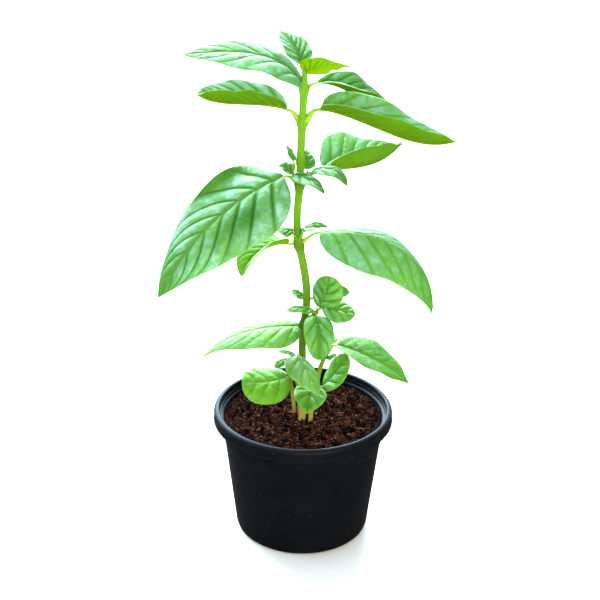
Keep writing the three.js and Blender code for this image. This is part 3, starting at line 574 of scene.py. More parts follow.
# one blade: a top and an underside that meet at the margin, with what the leaf's finish needs to know
def bladeMesh(leaf, line, small, seed):
    count = leafMesh["smallRowsPerVein" if small else "rowsPerVein"]
    sideColumns = leafMesh["smallColumns" if small else "columns"]
    t = rowsOf(leaf["veins"], count)
    edge = 1 - np.minimum(0.25, 0.35 / np.maximum(halfWidth(leaf, t), 0.01))
    u = columnsOf(sideColumns, edge)
    t = np.broadcast_to(t[:, None], u.shape)
    place, s, w, full = bladeSurface(leaf, line, t, u, seed)

    def beside(stepT, stepU):
        return bladeSurface(leaf, line, np.clip(t + stepT, 0, 1), np.clip(u + stepU, -1, 1), seed)[0]

    face = unit(np.cross(beside(0.01, 0) - beside(-0.01, 0), beside(0, 0.02) - beside(0, -0.02)))
    up = unit(alongRib(line, "up", s))
    face = face * np.where((face * up).sum(-1, keepdims=True) < 0, -1, 1)
    normal = unit(up + (face - up) * full[..., None])
    offRib = np.abs(u) * w
    lean = 1 + leaf["slant"] * np.abs(u) * np.pi * np.cos(np.pi * t)
    veinStep = leaf["length"] / leaf["veins"] * leafMesh["crowding"] * t ** 0.2 * lean
    phase = leaf["veins"] * t ** (1 / leafMesh["crowding"])
    offVein = np.abs(phase - np.clip(np.round(phase), 1, leaf["veins"] - 1)) * veinStep * 0.8
    offVein = offVein + 0.5 * t ** 2
    offEdge = np.minimum((1 - np.abs(u)) * w, (1 - s) * leaf["length"])
    scale = 0.55 if small else 1
    ribWidth = scale * (0.95 - 0.55 * t)
    groove = leafMesh["groove"] * scale * (1 - 0.7 * t) * np.exp(-((offRib / ribWidth) ** 2))
    fade = np.clip(1 - np.abs(u), 0, 1) ** 0.5 * np.minimum(1, offRib / 0.5)
    channel = leafMesh["channel"] * scale * (0.35 + 0.65 * leaf["veined"])
    groove = groove + channel * fade * np.exp(-((offVein / (0.45 * scale)) ** 2))
    keel = leaf["keel"] * (1 - 0.85 * t) * np.exp(-((offRib / (0.8 * scale)) ** 2))
    ridge = leafMesh["ridge"] * scale * fade * np.exp(-((offVein / (0.4 * scale)) ** 2))
    body = leaf["thickness"] / 2
    rim = np.abs(u) < 0.99999
    body, keel, ridge, groove = (value * rim for value in (body, keel, ridge, groove))
    top = place + normal * (body - groove)[..., None]
    under = place - normal * (body + keel + ridge)[..., None]
    rows, columns = u.shape
    root, tip = alongRib(line, "point", np.array([0.0, 1.0]))
    grid = np.arange(rows * columns).reshape(rows, columns)
    lower = grid + grid.size
    lower[:, 0], lower[:, -1] = grid[:, 0], grid[:, -1]  # the margin belongs to both faces
    rootIndex, tipIndex = 2 * grid.size, 2 * grid.size + 1
    faces = []
    for g, flip in ((grid, False), (lower, True)):
        a, b, c, d = g[:-1, :-1], g[:-1, 1:], g[1:, 1:], g[1:, :-1]
        quad = np.stack([a, b, c, d], -1).reshape(-1, 4)
        first = np.stack([np.full(columns - 1, rootIndex), g[0, 1:], g[0, :-1]], -1)
        last = np.stack([np.full(columns - 1, tipIndex), g[-1, :-1], g[-1, 1:]], -1)
        ends = np.concatenate([first, last])
        faces += [(quad[:, ::-1], 0), (ends, 0)] if not flip else [(quad, 1), (ends[:, ::-1], 1)]
    points = np.concatenate([top.reshape(-1, 3), under.reshape(-1, 3), [root, tip]])
    seen = np.stack([offRib, offVein, offEdge], -1).reshape(-1, 3)
    veinMap = np.concatenate([seen, seen, np.zeros((2, 3))])
    # the crest and the hollow by the stem get painted shade: a plain, deeper green, without the painted sheen
    # and with stronger furrow shade
    paintedShade = np.minimum(1, 3 * rearing(s, u)) * bool(leaf["crest"])
    reach = (s - leafMesh["hollowAt"]) / leafMesh["hollowSpread"]
    hollowShade = leaf["hollowShade"] * np.exp(-(reach ** 2) - ((u - 0.4) / 0.3) ** 2)
    paintedShade = np.maximum(paintedShade, hollowShade).ravel()
    paintedSheenShare = (leaf["paintedSheenShare"] + leaf["paintedSheenTip"] * s.ravel() ** 2) * (1 - paintedShade)
    tones = np.stack([leaf["deep"] + 0.6 * paintedShade, paintedSheenShare, leaf["veined"] + 0.3 * paintedShade], -1)
    tone = np.concatenate([tones, tones, tones[[0, -1]]])
    return dict(points=points, faces=faces, veinMap=veinMap, leafTone=tone)


# the faces of a closed tube, whose two end points come after the points of its rings
def tubeFaces(rings, sides, slot=0):
    grid = np.arange(rings * sides).reshape(rings, sides)
    turned = np.roll(grid, -1, 1)
    quads = np.stack([grid[:-1], turned[:-1], turned[1:], grid[1:]], -1).reshape(-1, 4)
    ends = np.concatenate([
        np.stack([np.full(sides, grid.size), turned[0], grid[0]], -1),
        np.stack([np.full(sides, grid.size + 1), grid[-1], turned[-1]], -1),
    ])
    return [(quads, slot), (ends, slot)]


# a closed tube on a path; groove is how deep its upper side is channelled, as a share of the radius
def tubeMesh(path, radii, sides, up, groove, slot):
    along = unit(np.gradient(path, axis=0))
    side = unit(np.cross(np.broadcast_to(up, path.shape), along))
    above = np.cross(along, side)
    angle = 2 * np.pi * np.arange(sides) / sides
    shape = 1 - groove * np.exp(-(((angle - np.pi / 2) / 0.55) ** 2))
    x, y = shape * np.cos(angle), shape * np.sin(angle)
    rings = path[:, None] + radii[:, None, None] * (
        side[:, None] * x[None, :, None] + above[:, None] * y[None, :, None]
    )
    points = np.concatenate([rings.reshape(-1, 3), path[:1], path[-1:]])
    nothing = np.zeros((len(points), 3))
    faces = tubeFaces(len(path), sides, slot)
    return dict(points=points, faces=faces, veinMap=nothing, leafTone=nothing)


def stalkMesh(leaf, root, start, line):
    low = -line["up"][0] * leaf["keel"] * 0.6
    ahead = line["along"][0]
    t = np.linspace(0, 1, 16)[:, None]
    a, d = root, start + low
    b = root + direction(leaf["heading"], leaf["stalkRise"]) * 0.45 * leaf["stalk"]
    c = start - ahead * 0.35 * leaf["stalk"] + low
    path = (1 - t) ** 3 * a + 3 * (1 - t) ** 2 * t * b + 3 * (1 - t) * t ** 2 * c + t ** 3 * d
    path = np.vstack([path, d + ahead * 0.025 * leaf["length"], d + ahead * 0.05 * leaf["length"]])
    radii = leaf["stalkRadius"] * (1.25 - 0.12 * np.append(5 * t[:, 0], [5.5, 6]))
    radii[:16] *= 1 + leafMesh["stalkFlare"] * np.exp(-t[:, 0] / 0.22)
    return tubeMesh(path, radii, leafMesh["stalkSides"], line["up"][0], 0.2, 2)


def leafParts(leaf, root, small, seed):
    root = np.array(root, float)
    start = root + direction(leaf["heading"], leaf["stalkRise"]) * leaf["stalk"]
    line = midrib(leaf, start)
    return [bladeMesh(leaf, line, small, seed), stalkMesh(leaf, root, start, line)]


# joins parts given in millimetres to one object at the origin, in metres
def makePiece(name, parts, materials):
    points = np.concatenate([part["points"] for part in parts]) * mm
    offsets = np.cumsum([0] + [len(part["points"]) for part in parts])
    corners, sizes, slots = [], [], []
    for part, offset in zip(parts, offsets):
        for faces, slot in part["faces"]:
            corners.append((faces + offset).ravel())
            sizes.append(np.full(len(faces), faces.shape[1]))
            slots.append(np.full(len(faces), slot))
    corners, sizes, slots = (np.concatenate(lists).astype(np.int32) for lists in (corners, sizes, slots))
    starts = np.concatenate([[0], np.cumsum(sizes)[:-1]]).astype(np.int32)
    mesh = bpy.data.meshes.new(name)
    mesh.vertices.add(len(points))
    mesh.vertices.foreach_set("co", points.astype(np.float32).ravel())
    mesh.loops.add(len(corners))
    mesh.polygons.add(len(sizes))
    mesh.polygons.foreach_set("loop_start", starts)
    mesh.polygons.foreach_set("vertices", corners)
    mesh.polygons.foreach_set("material_index", slots)
    mesh.polygons.foreach_set("use_smooth", np.ones(len(sizes), bool))
    for key in ("veinMap", "leafTone"):
        if key in parts[0]:
            values = np.concatenate([part[key] for part in parts]).astype(np.float32)
            mesh.attributes.new(key, "FLOAT_VECTOR", "POINT").data.foreach_set("vector", values.ravel())
    for material in materials:
        mesh.materials.append(material)
    mesh.update(calc_edges=True)
    return addObject(name, mesh)


# the plant's stems are swept along their routes, and their fine hairs set on them, by one node tree
stemFinish = {
    "spacing": 1.0,  # mm between rings
    "profileSides": 24,
    "jointReach": 3.2,  # how far a joint's swelling spreads along the stem, mm
    "hairs": 1.1e6,  # for each square metre
    "hairLength": 0.55,
    "hairRadius": 0.03,
    "seed": 4,
}


def stretchOf(stem, z):
    route = stem["route"]
    k = next((i for i in range(1, len(route)) if route[i][2] > z), len(route) - 1)
    below, above = np.array(route[k - 1], float), np.array(route[k], float)
    return below, above, float(np.clip((z - below[2]) / (above[2] - below[2]), 0, 1))


def onStem(stem, z):
    below, above, t = stretchOf(stem, z)
    return (below + (above - below) * t)[:3]


def stemRadius(stem, z):
    below, above, t = stretchOf(stem, z)
    reach = stemFinish["jointReach"]
    swell = max([0] + [math.exp(-(((z - joint) / reach) ** 2)) for joint in stem["joints"]])
    return (below[3] + (above[3] - below[3]) * t) * (1 + (stem["swell"] - 1) * swell)


# a smooth curve through the route's points, closely spaced
def smoothPath(points):
    points = np.array(points, float)[:, :3]
    ends = [2 * points[0] - points[1], *points, 2 * points[-1] - points[-2]]
    path = []
    for p0, p1, p2, p3 in zip(ends, ends[1:], ends[2:], ends[3:]):
        d0, d1, d2 = (math.sqrt(np.linalg.norm(b - a)) for a, b in ((p0, p1), (p1, p2), (p2, p3)))
        start = ((p1 - p0) / d0 - (p2 - p0) / (d0 + d1) + (p2 - p1) / d1) * d1
        end = ((p2 - p1) / d1 - (p3 - p1) / (d1 + d2) + (p3 - p2) / d2) * d1
        for t in np.arange(0, 1, stemFinish["spacing"] / np.linalg.norm(p2 - p1)):
            c2, c3 = -3 * p1 + 3 * p2 - 2 * start - end, 2 * p1 - 2 * p2 + start + end
            path.append(p1 + start * t + c2 * t ** 2 + c3 * t ** 3)
    return np.array(path + [points[-1]])


def newTree(name, inputs):
    tree = bpy.data.node_groups.new(name, "GeometryNodeTree")
    tree.interface.new_socket("Geometry", in_out="INPUT", socket_type="NodeSocketGeometry")
    tree.interface.new_socket("Geometry", in_out="OUTPUT", socket_type="NodeSocketGeometry")
    for label, kind in inputs.items():
        tree.interface.new_socket(label, in_out="INPUT", socket_type="NodeSocket" + kind)
    return tree, put(tree, "NodeGroupInput").outputs


def geo(tree, kind, inputs=None, **settings):
    return put(tree, "GeometryNode" + kind, inputs, **settings).outputs[0]


def randomVector(tree, low, high, seed):
    inputs = {"Min": low, "Max": high, "Seed": seed}
    return put(tree, "FunctionNodeRandomValue", inputs, data_type="FLOAT_VECTOR").outputs[0]


def randomNumber(tree, low, high, seed):
    inputs = {2: low, 3: high, "Seed": seed}
    return put(tree, "FunctionNodeRandomValue", inputs, data_type="FLOAT").outputs[1]


def asRotation(tree, angles):
    return put(tree, "FunctionNodeEulerToRotation", {0: angles}).outputs[0]


def joined(tree, geometries):
    node = put(tree, "GeometryNodeJoinGeometry")
    for geometry in geometries:
        tree.links.new(geometry, node.inputs[0])
    return node.outputs[0]


def endTree(tree, geometry, material):
    whole = geo(tree, "RealizeInstances", {"Geometry": geometry})
    done = geo(tree, "SetMaterial", {"Geometry": whole, "Material": material})
    put(tree, "NodeGroupOutput", {"Geometry": done})


def evaluatedMesh(source):
    bpy.context.view_layer.update()
    evaluated = source.evaluated_get(bpy.context.evaluated_depsgraph_get())
    return bpy.data.meshes.new_from_object(evaluated)


# runs a tree on a mesh and returns what it makes as a plain mesh
def runTree(tree, source, values):
    modifier = source.modifiers.new("build", "NODES")
    modifier.node_group = tree
    for socket in tree.interface.items_tree:
        if socket.in_out == "INPUT" and socket.name in values:
            modifier[socket.identifier] = values[socket.name]
    mesh = evaluatedMesh(source)
    source.modifiers.remove(modifier)
    return mesh


def makeStemTree():
    tree, given = newTree("sweptStem", {
        "Profile Sides": "Int", "Hair Density": "Float", "Hair Length": "Float", "Hair Radius": "Float",
        "Seed": "Int", "Material": "Material",
    })
    curve = geo(tree, "MeshToCurve", {"Mesh": given["Geometry"]})
    # the square section keeps its corners between the left-right and the front-back directions
    tangent = geo(tree, "InputTangent")
    level = vectorMath(tree, "CROSS_PRODUCT", tangent, (1, 0, 0))
    side = vectorMath(tree, "NORMALIZE", vectorMath(tree, "CROSS_PRODUCT", level, tangent))
    curve = geo(tree, "SetCurveNormal", {"Curve": curve, "Normal": side}, mode="FREE")
    position = geo(tree, "InputPosition")
    x, y = xyz(tree, position)[:2]
    wide = calc(tree, "MAXIMUM", calc(tree, "ABSOLUTE", x), calc(tree, "ABSOLUTE", y))
    # 1 in the middle of a flat side, 1.41 at a corner; the flat sides are slightly hollow
    reach = calc(tree, "ADD", 0.66, calc(tree, "DIVIDE", 0.34, wide))
    reach = calc(tree, "SUBTRACT", reach, times(tree, calc(tree, "POWER", wide, 12.0), 0.05))
    ring = geo(tree, "CurvePrimitiveCircle", {"Resolution": given["Profile Sides"], "Radius": 1.0})
    ring = geo(tree, "SetPosition", {"Geometry": ring, "Position": scaled(tree, position, reach)})
    radius = geo(tree, "InputNamedAttribute", {"Name": "stemRadius"}, data_type="FLOAT")
    stem = geo(tree, "CurveToMesh", {
        "Curve": curve, "Profile Curve": ring, "Scale": radius, "Fill Caps": True,
    })
    stem = geo(tree, "SetShadeSmooth", {"Geometry": stem})
    hair = geo(tree, "MeshCone", {
        "Vertices": 3, "Side Segments": 1,
        "Radius Bottom": given["Hair Radius"], "Depth": given["Hair Length"],
    }, fill_type="NGON")
    roots = put(tree, "GeometryNodeDistributePointsOnFaces", {
        "Mesh": stem, "Density": given["Hair Density"], "Seed": given["Seed"],
    }).outputs
    lean = randomVector(tree, (-0.5, -0.5, 0.0), (0.5, 0.5, 6.0), given["Seed"])
    turn = put(tree, "FunctionNodeRotateRotation", {
        "Rotation": roots["Rotation"], "Rotate By": asRotation(tree, lean),
    }, rotation_space="LOCAL").outputs[0]
    size = randomNumber(tree, 0.4, 1.15, given["Seed"])
    hairs = geo(tree, "InstanceOnPoints", {
        "Points": roots[0], "Instance": hair, "Rotation": turn, "Scale": size,
    })
    endTree(tree, joined(tree, [hairs, stem]), given["Material"])
    return tree


def stemMesh(name, path, radii, material, seed):
    line = bpy.data.meshes.new(name + "Path")
    line.from_pydata((path * mm).tolist(), [(i, i + 1) for i in range(len(path) - 1)], [])
    thickness = line.attributes.new("stemRadius", "FLOAT", "POINT")
    thickness.data.foreach_set("value", np.array(radii, np.float32) * mm)
    source = addObject(name + "Path", line)
    mesh = runTree(stemTree, source, {
        "Profile Sides": stemFinish["profileSides"],
        "Hair Density": stemFinish["hairs"],
        "Hair Length": stemFinish["hairLength"] * mm,
        "Hair Radius": stemFinish["hairRadius"] * mm,
        "Seed": stemFinish["seed"] + seed,
        "Material": material,
    })
    bpy.data.objects.remove(source)
    bpy.data.meshes.remove(line)
    return mesh


stemTree = makeStemTree()

# soil: a lumpy bed, with grains of three kinds and bark fibres strewn on it
soilBed = {
    "level": 70.0,
    "dish": 2.0,
    "bump": 1.1,
    "bottom": 2.1,
    "edge": 46.3,  # radius of its top, mm
    "foot": 34.7,
    "rings": 84,
    "sides": 168,
    "lumps": 1.7,  # height of the small lumps, mm
    "lumpSizes": ((4.5, 0.5), (2.1, 0.33), (1.0, 0.17)),  # mm, and the share of the height
    "strewnAbove": 60,  # grains lie only on faces higher than this, mm
}
soilGrains = {
    "Grain Density": 7.2e5,  # for each square metre
    "Grain Size": 0.75 * mm,
    "Clod Density": 9.0e4,
    "Clod Size": 1.9 * mm,
    "Chip Density": 3.2e4,  # pale chips
    "Chip Size": 0.8 * mm,
    "Seed": 7,
}
# how uneven each kind is, its least and greatest size, its range of tint and how far out it lies, mm
grainKinds = {
    "Grain": dict(subdivisions=1, lumps=0.28, low=(0.5, 0.5, 0.35), high=(1.3, 1.15, 0.9),
        tint=(0.05, 0.72), reach=46.1, tilt=3.14),
    "Clod": dict(subdivisions=2, lumps=0.24, low=(0.4, 0.3, 0.25), high=(1.6, 1.0, 0.75),
        tint=(0.0, 0.64), reach=44.2, tilt=3.14),
    "Chip": dict(subdivisions=1, lumps=0.28, low=(0.4, 0.35, 0.25), high=(1.5, 0.9, 0.6),
        tint=(0.8, 1.0), reach=45.5, tilt=3.14),
}
soilFibres = {"Density": 4.2e4, "Length": 5.5 * mm, "Radius": 0.11 * mm, "Seed": 11}
fibreKind = dict(low=(0.25, 0.25, 0.25), high=(1.5, 1.5, 1.5), tint=(0.5, 0.95), reach=42.6, tilt=0.3)


def soilHeight(x, y):
    lumps = (
        np.sin(0.21 * x + 1.3) * np.cos(0.17 * y + 0.4)
        + 0.7 * np.sin(0.47 * x - 0.31 * y) * np.cos(0.39 * y + 0.8)
        + 0.5 * np.sin(0.83 * y + 0.52 * x + 2.1)
    )
    return soilBed["level"] + soilBed["dish"] * (np.hypot(x, y) / 46) ** 2 + soilBed["bump"] * lumps / 1.6


def roughness(x, y):
    total = np.zeros_like(x)
    for size, share in soilBed["lumpSizes"]:
        total += share * np.array([noise.noise(Vector((a / size, b / size, size))) for a, b in zip(x, y)])
    return total


def makeSoilBed(materials):
    rings, sides = soilBed["rings"], soilBed["sides"]
    radius = np.repeat(soilBed["edge"] * (np.arange(1, rings + 1) / rings) ** 0.8, sides)
    angle = np.tile(2 * np.pi * np.arange(sides) / sides, rings)
    x, y = np.append(radius * np.cos(angle), 0), np.append(radius * np.sin(angle), 0)
    z = soilHeight(x, y) + soilBed["lumps"] * roughness(x, y) * 2
    ends = np.arange(len(x) - 1) >= (rings - 1) * sides
    z[:-1][ends] = np.minimum(z[:-1][ends], soilBed["level"] + soilBed["dish"] - 0.6)
    turn = 2 * np.pi * np.arange(sides) / sides
    foot = np.stack([soilBed["foot"] * np.cos(turn), soilBed["foot"] * np.sin(turn)], -1)
    bottom = soilBed["bottom"]
    points = np.concatenate([
        np.stack([x, y, z], -1), np.column_stack([foot, np.full(sides, bottom)]), [[0, 0, bottom]],
    ])
    grid = np.arange(rings * sides).reshape(rings, sides)
    grid = np.vstack([grid, grid[-1] + 1 + sides])
    turned = np.roll(grid, -1, 1)
    quads = np.stack([grid[:-1], grid[1:], turned[1:], turned[:-1]], -1).reshape(-1, 4)
    middle, base = rings * sides, len(points) - 1
    triangles = np.concatenate([
        np.stack([np.full(sides, middle), grid[0], turned[0]], -1),
        np.stack([np.full(sides, base), turned[-1], grid[-1]], -1),
    ])
    return makePiece("soilBed", [dict(points=points, faces=[(quads, 0), (triangles, 0)])], materials)


def strew(tree, bed, shape, density, size, seed, kind):
    x, y, z = xyz(tree, geo(tree, "InputPosition"))
    away = calc(tree, "MULTIPLY_ADD", y, y, times(tree, x, x))
    inside = calc(tree, "LESS_THAN", away, (kind["reach"] * mm) ** 2)
    top = times(tree, calc(tree, "GREATER_THAN", z, soilBed["strewnAbove"] * mm), inside)
    # asked at each face's middle, so that none lands on the soil's side inside the pot
    top = geo(tree, "FieldOnDomain", {0: top}, domain="FACE")
    points = geo(tree, "DistributePointsOnFaces", {
        "Mesh": bed, "Selection": top, "Density": density, "Seed": seed,
    })
    tilt = kind["tilt"]
    turn = asRotation(tree, randomVector(tree, (-tilt, -tilt, -3.14), (tilt, tilt, 3.14), seed))
    scale = scaled(tree, randomVector(tree, kind["low"], kind["high"], seed), size)
    strewn = geo(tree, "InstanceOnPoints", {
        "Points": points, "Instance": shape, "Rotation": turn, "Scale": scale,
    })
    shade = randomNumber(tree, *kind["tint"], seed)
    inputs = {"Geometry": strewn, "Name": "tint", "Value": shade}
    return geo(tree, "StoreNamedAttribute", inputs, data_type="FLOAT", domain="INSTANCE")


def lumpyStone(tree, subdivisions, seed, amount):
    ball = geo(tree, "MeshIcoSphere", {"Radius": 1.0, "Subdivisions": subdivisions})
    push = randomVector(tree, (-amount,) * 3, (amount,) * 3, seed)
    return geo(tree, "SetPosition", {"Geometry": ball, "Offset": push})


def makeGrainTree():
    sizes = {kind + what: "Float" for kind in grainKinds for what in (" Density", " Size")}
    tree, given = newTree("strewnSoil", sizes | {"Seed": "Int", "Material": "Material"})
    strewn = []
    for number, (name, kind) in enumerate(grainKinds.items()):
        seed = calc(tree, "ADD", given["Seed"], float(number))
        shape = lumpyStone(tree, kind["subdivisions"], number + 3, kind["lumps"])
        density, size = given[name + " Density"], given[name + " Size"]
        strewn.append(strew(tree, given["Geometry"], shape, density, size, seed, kind))
    endTree(tree, joined(tree, strewn), given["Material"])
    return tree


def makeFibreTree():
    tree, given = newTree("barkFibres", {
        "Density": "Float", "Length": "Float", "Radius": "Float", "Seed": "Int", "Material": "Material",
    })
    line = geo(tree, "CurveQuadraticBezier", {
        "Resolution": 7, "Start": (-0.5, 0, 0), "Middle": (0, 0.22, 0.2), "End": (0.5, 0.05, 0),
    })
    along = calc(tree, "ABSOLUTE", xyz(tree, geo(tree, "InputPosition"))[0])
    taper = calc(tree, "SUBTRACT", 1.0, times(tree, along, 1.2))
    thick = times(tree, calc(tree, "DIVIDE", given["Radius"], given["Length"]), taper)
    ring = geo(tree, "CurvePrimitiveCircle", {"Resolution": 5, "Radius": 1.0})
    shape = geo(tree, "CurveToMesh", {
        "Curve": line, "Profile Curve": ring, "Scale": thick, "Fill Caps": True,
    })
    density, length, seed = given["Density"], given["Length"], given["Seed"]
    fibres = strew(tree, given["Geometry"], shape, density, length, seed, fibreKind)
    endTree(tree, fibres, given["Material"])
    return tree


# pot: one moulding turned round its axis, with a rolled rim, a step, an inner ledge and six drains
potShape = {
    "height": 79,
    "rimRadius": 53,
    "skirt": 7.5,
    "roll": 2.4,
    "wall": 1.5,
    "shoulderRadius": 48.6,
    "stepHeight": 60.5,
    "stepDepth": 0.5,
    "footRadius": 39.6,
    "corner": 3,
    "ledgeHeight": 74.6,
    "mouthRadius": 49.6,
    "floor": 1.8,
    "bead": 0.28,  # thin raised line along the rim's lower edge
    "sides": 192,
    "drains": 6,
    "drainRadius": 3.6,
    "drainRing": 27,
    "drainSides": 40,
    "sharpAngle": 40,  # edges steeper than this stay sharp, degrees
}


def arc(cx, cz, r, start, end, steps):
    return [
        (cx + r * math.cos(math.radians(a)), cz + r * math.sin(math.radians(a)))
        for a in np.linspace(start, end, steps + 1)
    ]


def bodyRadius(z):
    pot = potShape
    lip = pot["stepDepth"] if z > pot["stepHeight"] else 0
    slope = (pot["shoulderRadius"] - pot["stepDepth"] - pot["footRadius"]) / (pot["height"] - pot["skirt"])
    return pot["footRadius"] + slope * z + lip


def potProfile(pot):
    height, wall, under, step = pot["height"], pot["wall"], pot["height"] - pot["skirt"], pot["stepHeight"]
    rim, mouth, ledge, bead = pot["rimRadius"], pot["mouthRadius"], pot["ledgeHeight"], pot["bead"]
    corner, roll, floor = pot["corner"], pot["roll"], pot["floor"]
    flat = pot["footRadius"] - corner
    lip = [
        (bodyRadius(step) + pot["stepDepth"] * k, step + 0.35 * (2 * k - 1)) for k in (0.0, 0.25, 0.75, 1.0)
    ]
    return [
        (0, 0),
        (flat - 3, 0.0), (flat - 2.4, 0.5), (flat - 1.2, 0.5), (flat - 0.6, 0),
        *arc(flat, corner, corner, -90, -6, 12),
        *((bodyRadius(z), z) for z in np.linspace(corner + 1, step - 0.7, 24)),
        *lip,
        *((bodyRadius(z), z) for z in np.linspace(step + 0.8, under, 6)),
        (bodyRadius(under), height - 2 * wall),
        (rim - wall, height - 2 * wall),
        (rim - wall, under + 0.2),
        *arc(rim - 0.45, under + 0.3, 0.3, 270, 300, 2),
        *arc(rim - 0.3 + bead * 0.5, under + 0.55, 0.4, -60, 70, 6),
        (rim - 0.02, under + 1.4),
        (rim, height - roll - 1.5),
        *arc(rim - roll, height - roll, roll, 0, 90, 14),
        *arc(mouth + 0.8, height - 0.8, 0.8, 90, 180, 6),
        (mouth - 0.3, ledge + 0.5), (mouth - 0.5, ledge + 0.1), (mouth - 0.9, ledge),
        *((bodyRadius(z) - wall, z) for z in np.linspace(ledge - 0.6, step + 1, 6)),
        *((bodyRadius(z) - wall, z) for z in np.linspace(step - 1, corner + 2, 14)),
        (bodyRadius(corner) - wall - 1, floor + 1),
        (bodyRadius(corner) - wall - 3, floor),
        (0, floor),
    ]


def turnProfile(profile, sides):
    radius, height = np.array(profile[1:-1]).T
    turn = 2 * np.pi * np.arange(sides) / sides
    rings = np.stack([
        radius[:, None] * np.cos(turn), radius[:, None] * np.sin(turn),
        np.broadcast_to(height[:, None], (len(radius), sides)),
    ], -1)
    points = np.concatenate([rings.reshape(-1, 3), [[0, 0, profile[0][1]]], [[0, 0, profile[-1][1]]]])
    return dict(points=points, faces=tubeFaces(len(radius), sides))


def makePot(pot, material):
    piece = makePiece("nurseryPot", [turnProfile(potProfile(pot), pot["sides"])], [material])
    drill = bmesh.new()
    radius = pot["drainRadius"] * mm
    for k in range(pot["drains"]):
        angle = 2 * math.pi * (k + 0.5) / pot["drains"]
        at = Matrix.Translation((
            pot["drainRing"] * math.cos(angle) * mm,
            pot["drainRing"] * math.sin(angle) * mm,
            pot["floor"] * mm,
        ))
        bmesh.ops.create_cone(
            drill, cap_ends=True, segments=pot["drainSides"], radius1=radius, radius2=radius,
            depth=4 * pot["floor"] * mm, matrix=at,
        )
    cutterMesh = bpy.data.meshes.new("drill")
    drill.to_mesh(cutterMesh)
    drill.free()
    cutter = addObject("drill", cutterMesh)
    cut = piece.modifiers.new("drains", "BOOLEAN")
    cut.operation, cut.object, cut.solver = "DIFFERENCE", cutter, "EXACT"
    piece.data = evaluatedMesh(piece)
    piece.modifiers.clear()
    piece.data.set_sharp_from_angle(angle=math.radians(pot["sharpAngle"]))
    bpy.data.objects.remove(cutter)
    return piece


# finishes
leafLook = {
    "young": (0.085, 0.31, 0.003),
    "deep": (0.014, 0.135, 0.006),
    # painted shade in the furrows along the veins and the midrib
    "furrow": (0.020, 0.125, 0.0003),
    "vein": (0.16, 0.30, 0.01),
    "lime": (0.25, 0.52, 0.006),
    # a painted sheen: a teal wash standing in for the sky's reflection on the tops
    "paintedSheen": (0.15, 0.43, 0.21),
    "paintedHighlight": (0.35, 0.62, 0.54),  # a painted highlight on the tops of the bulges between veins
    "under": (0.072, 0.16, 0.0004),
    "underYoung": (0.18, 0.34, 0.0005),
    "underVein": (0.22, 0.32, 0.005),
    "glow": (0.29, 0.53, 0.0005),  # light that comes through the blade
    "stalk": (0.27, 0.40, 0.0015),
    "stalkShade": (0.16, 0.30, 0.003),
    "shine": (0.60, 1.0, 0.36, 1.0),
    # what is drawn on each face, its colour and how strongly
    "topLines": (
        # the top's side veins are drawn in the furrows' painted shade
        ("net", "vein", 0.16), ("vein", "furrow", 0.6), ("rib", "vein", 0.5), ("margin", "lime", 0.6),
    ),
    "underLines": (
        ("net", "underVein", 0.25), ("lines", "underVein", 0.6), ("margin", "underVein", 0.5),
    ),
    "translucency": 0.3,
    "gloss": 0.46,
    "netSize": 1.1,  # mm
    "pillowSize": 2.4,
}
stemLook = {
    "stops": [
        (0.0, (0.42, 0.33, 0.12)), (0.05, (0.45, 0.38, 0.10)), (0.12, (0.22, 0.28, 0.010)),
        (0.24, (0.06, 0.12, 0.002)), (0.40, (0.08, 0.18, 0.0006)), (0.62, (0.105, 0.25, 0.0003)),
        (1.0, (0.12, 0.28, 0.0003)),
    ],
    "low": 68 * mm,
    "high": 286 * mm,
    "streak": (0.07, 0.15, 0.002),
    # painted shade: the stem is darker at the three lower joints, beneath the leaf pairs
    "joint": (0.035, 0.075, 0.002),
    "joints": (132, 183, 219),
    "jointNear": 1.0 * mm,
    "jointFar": 6.5 * mm,
    "roughness": 0.42,
}
soilLook = {
    "stops": [
        (0.0, (0.002, 0.0006, 0.0005)), (0.25, (0.010, 0.0028, 0.0016)), (0.45, (0.034, 0.009, 0.0045)),
        (0.60, (0.085, 0.026, 0.014)), (0.8, (0.20, 0.085, 0.05)), (1.0, (0.36, 0.24, 0.15)),
    ],
    "edge": (0.012, 0.006, 0.004),  # darker where the pot shades it
    "edgeFrom": 34 * mm,
    "edgeTo": 47 * mm,
}
potLook = {
    "dark": (0.0015, 0.0016, 0.002),
    "light": (0.0035, 0.0035, 0.004),
    "scuff": (0.02, 0.018, 0.017),
    "dust": (0.09, 0.075, 0.065),
    "smooth": 0.48,
    "rough": 0.60,
    "shine": (0.50, 0.74, 1.0, 1.0),
    "sheen": (1.0, 0.84, 0.74, 1.0),
}


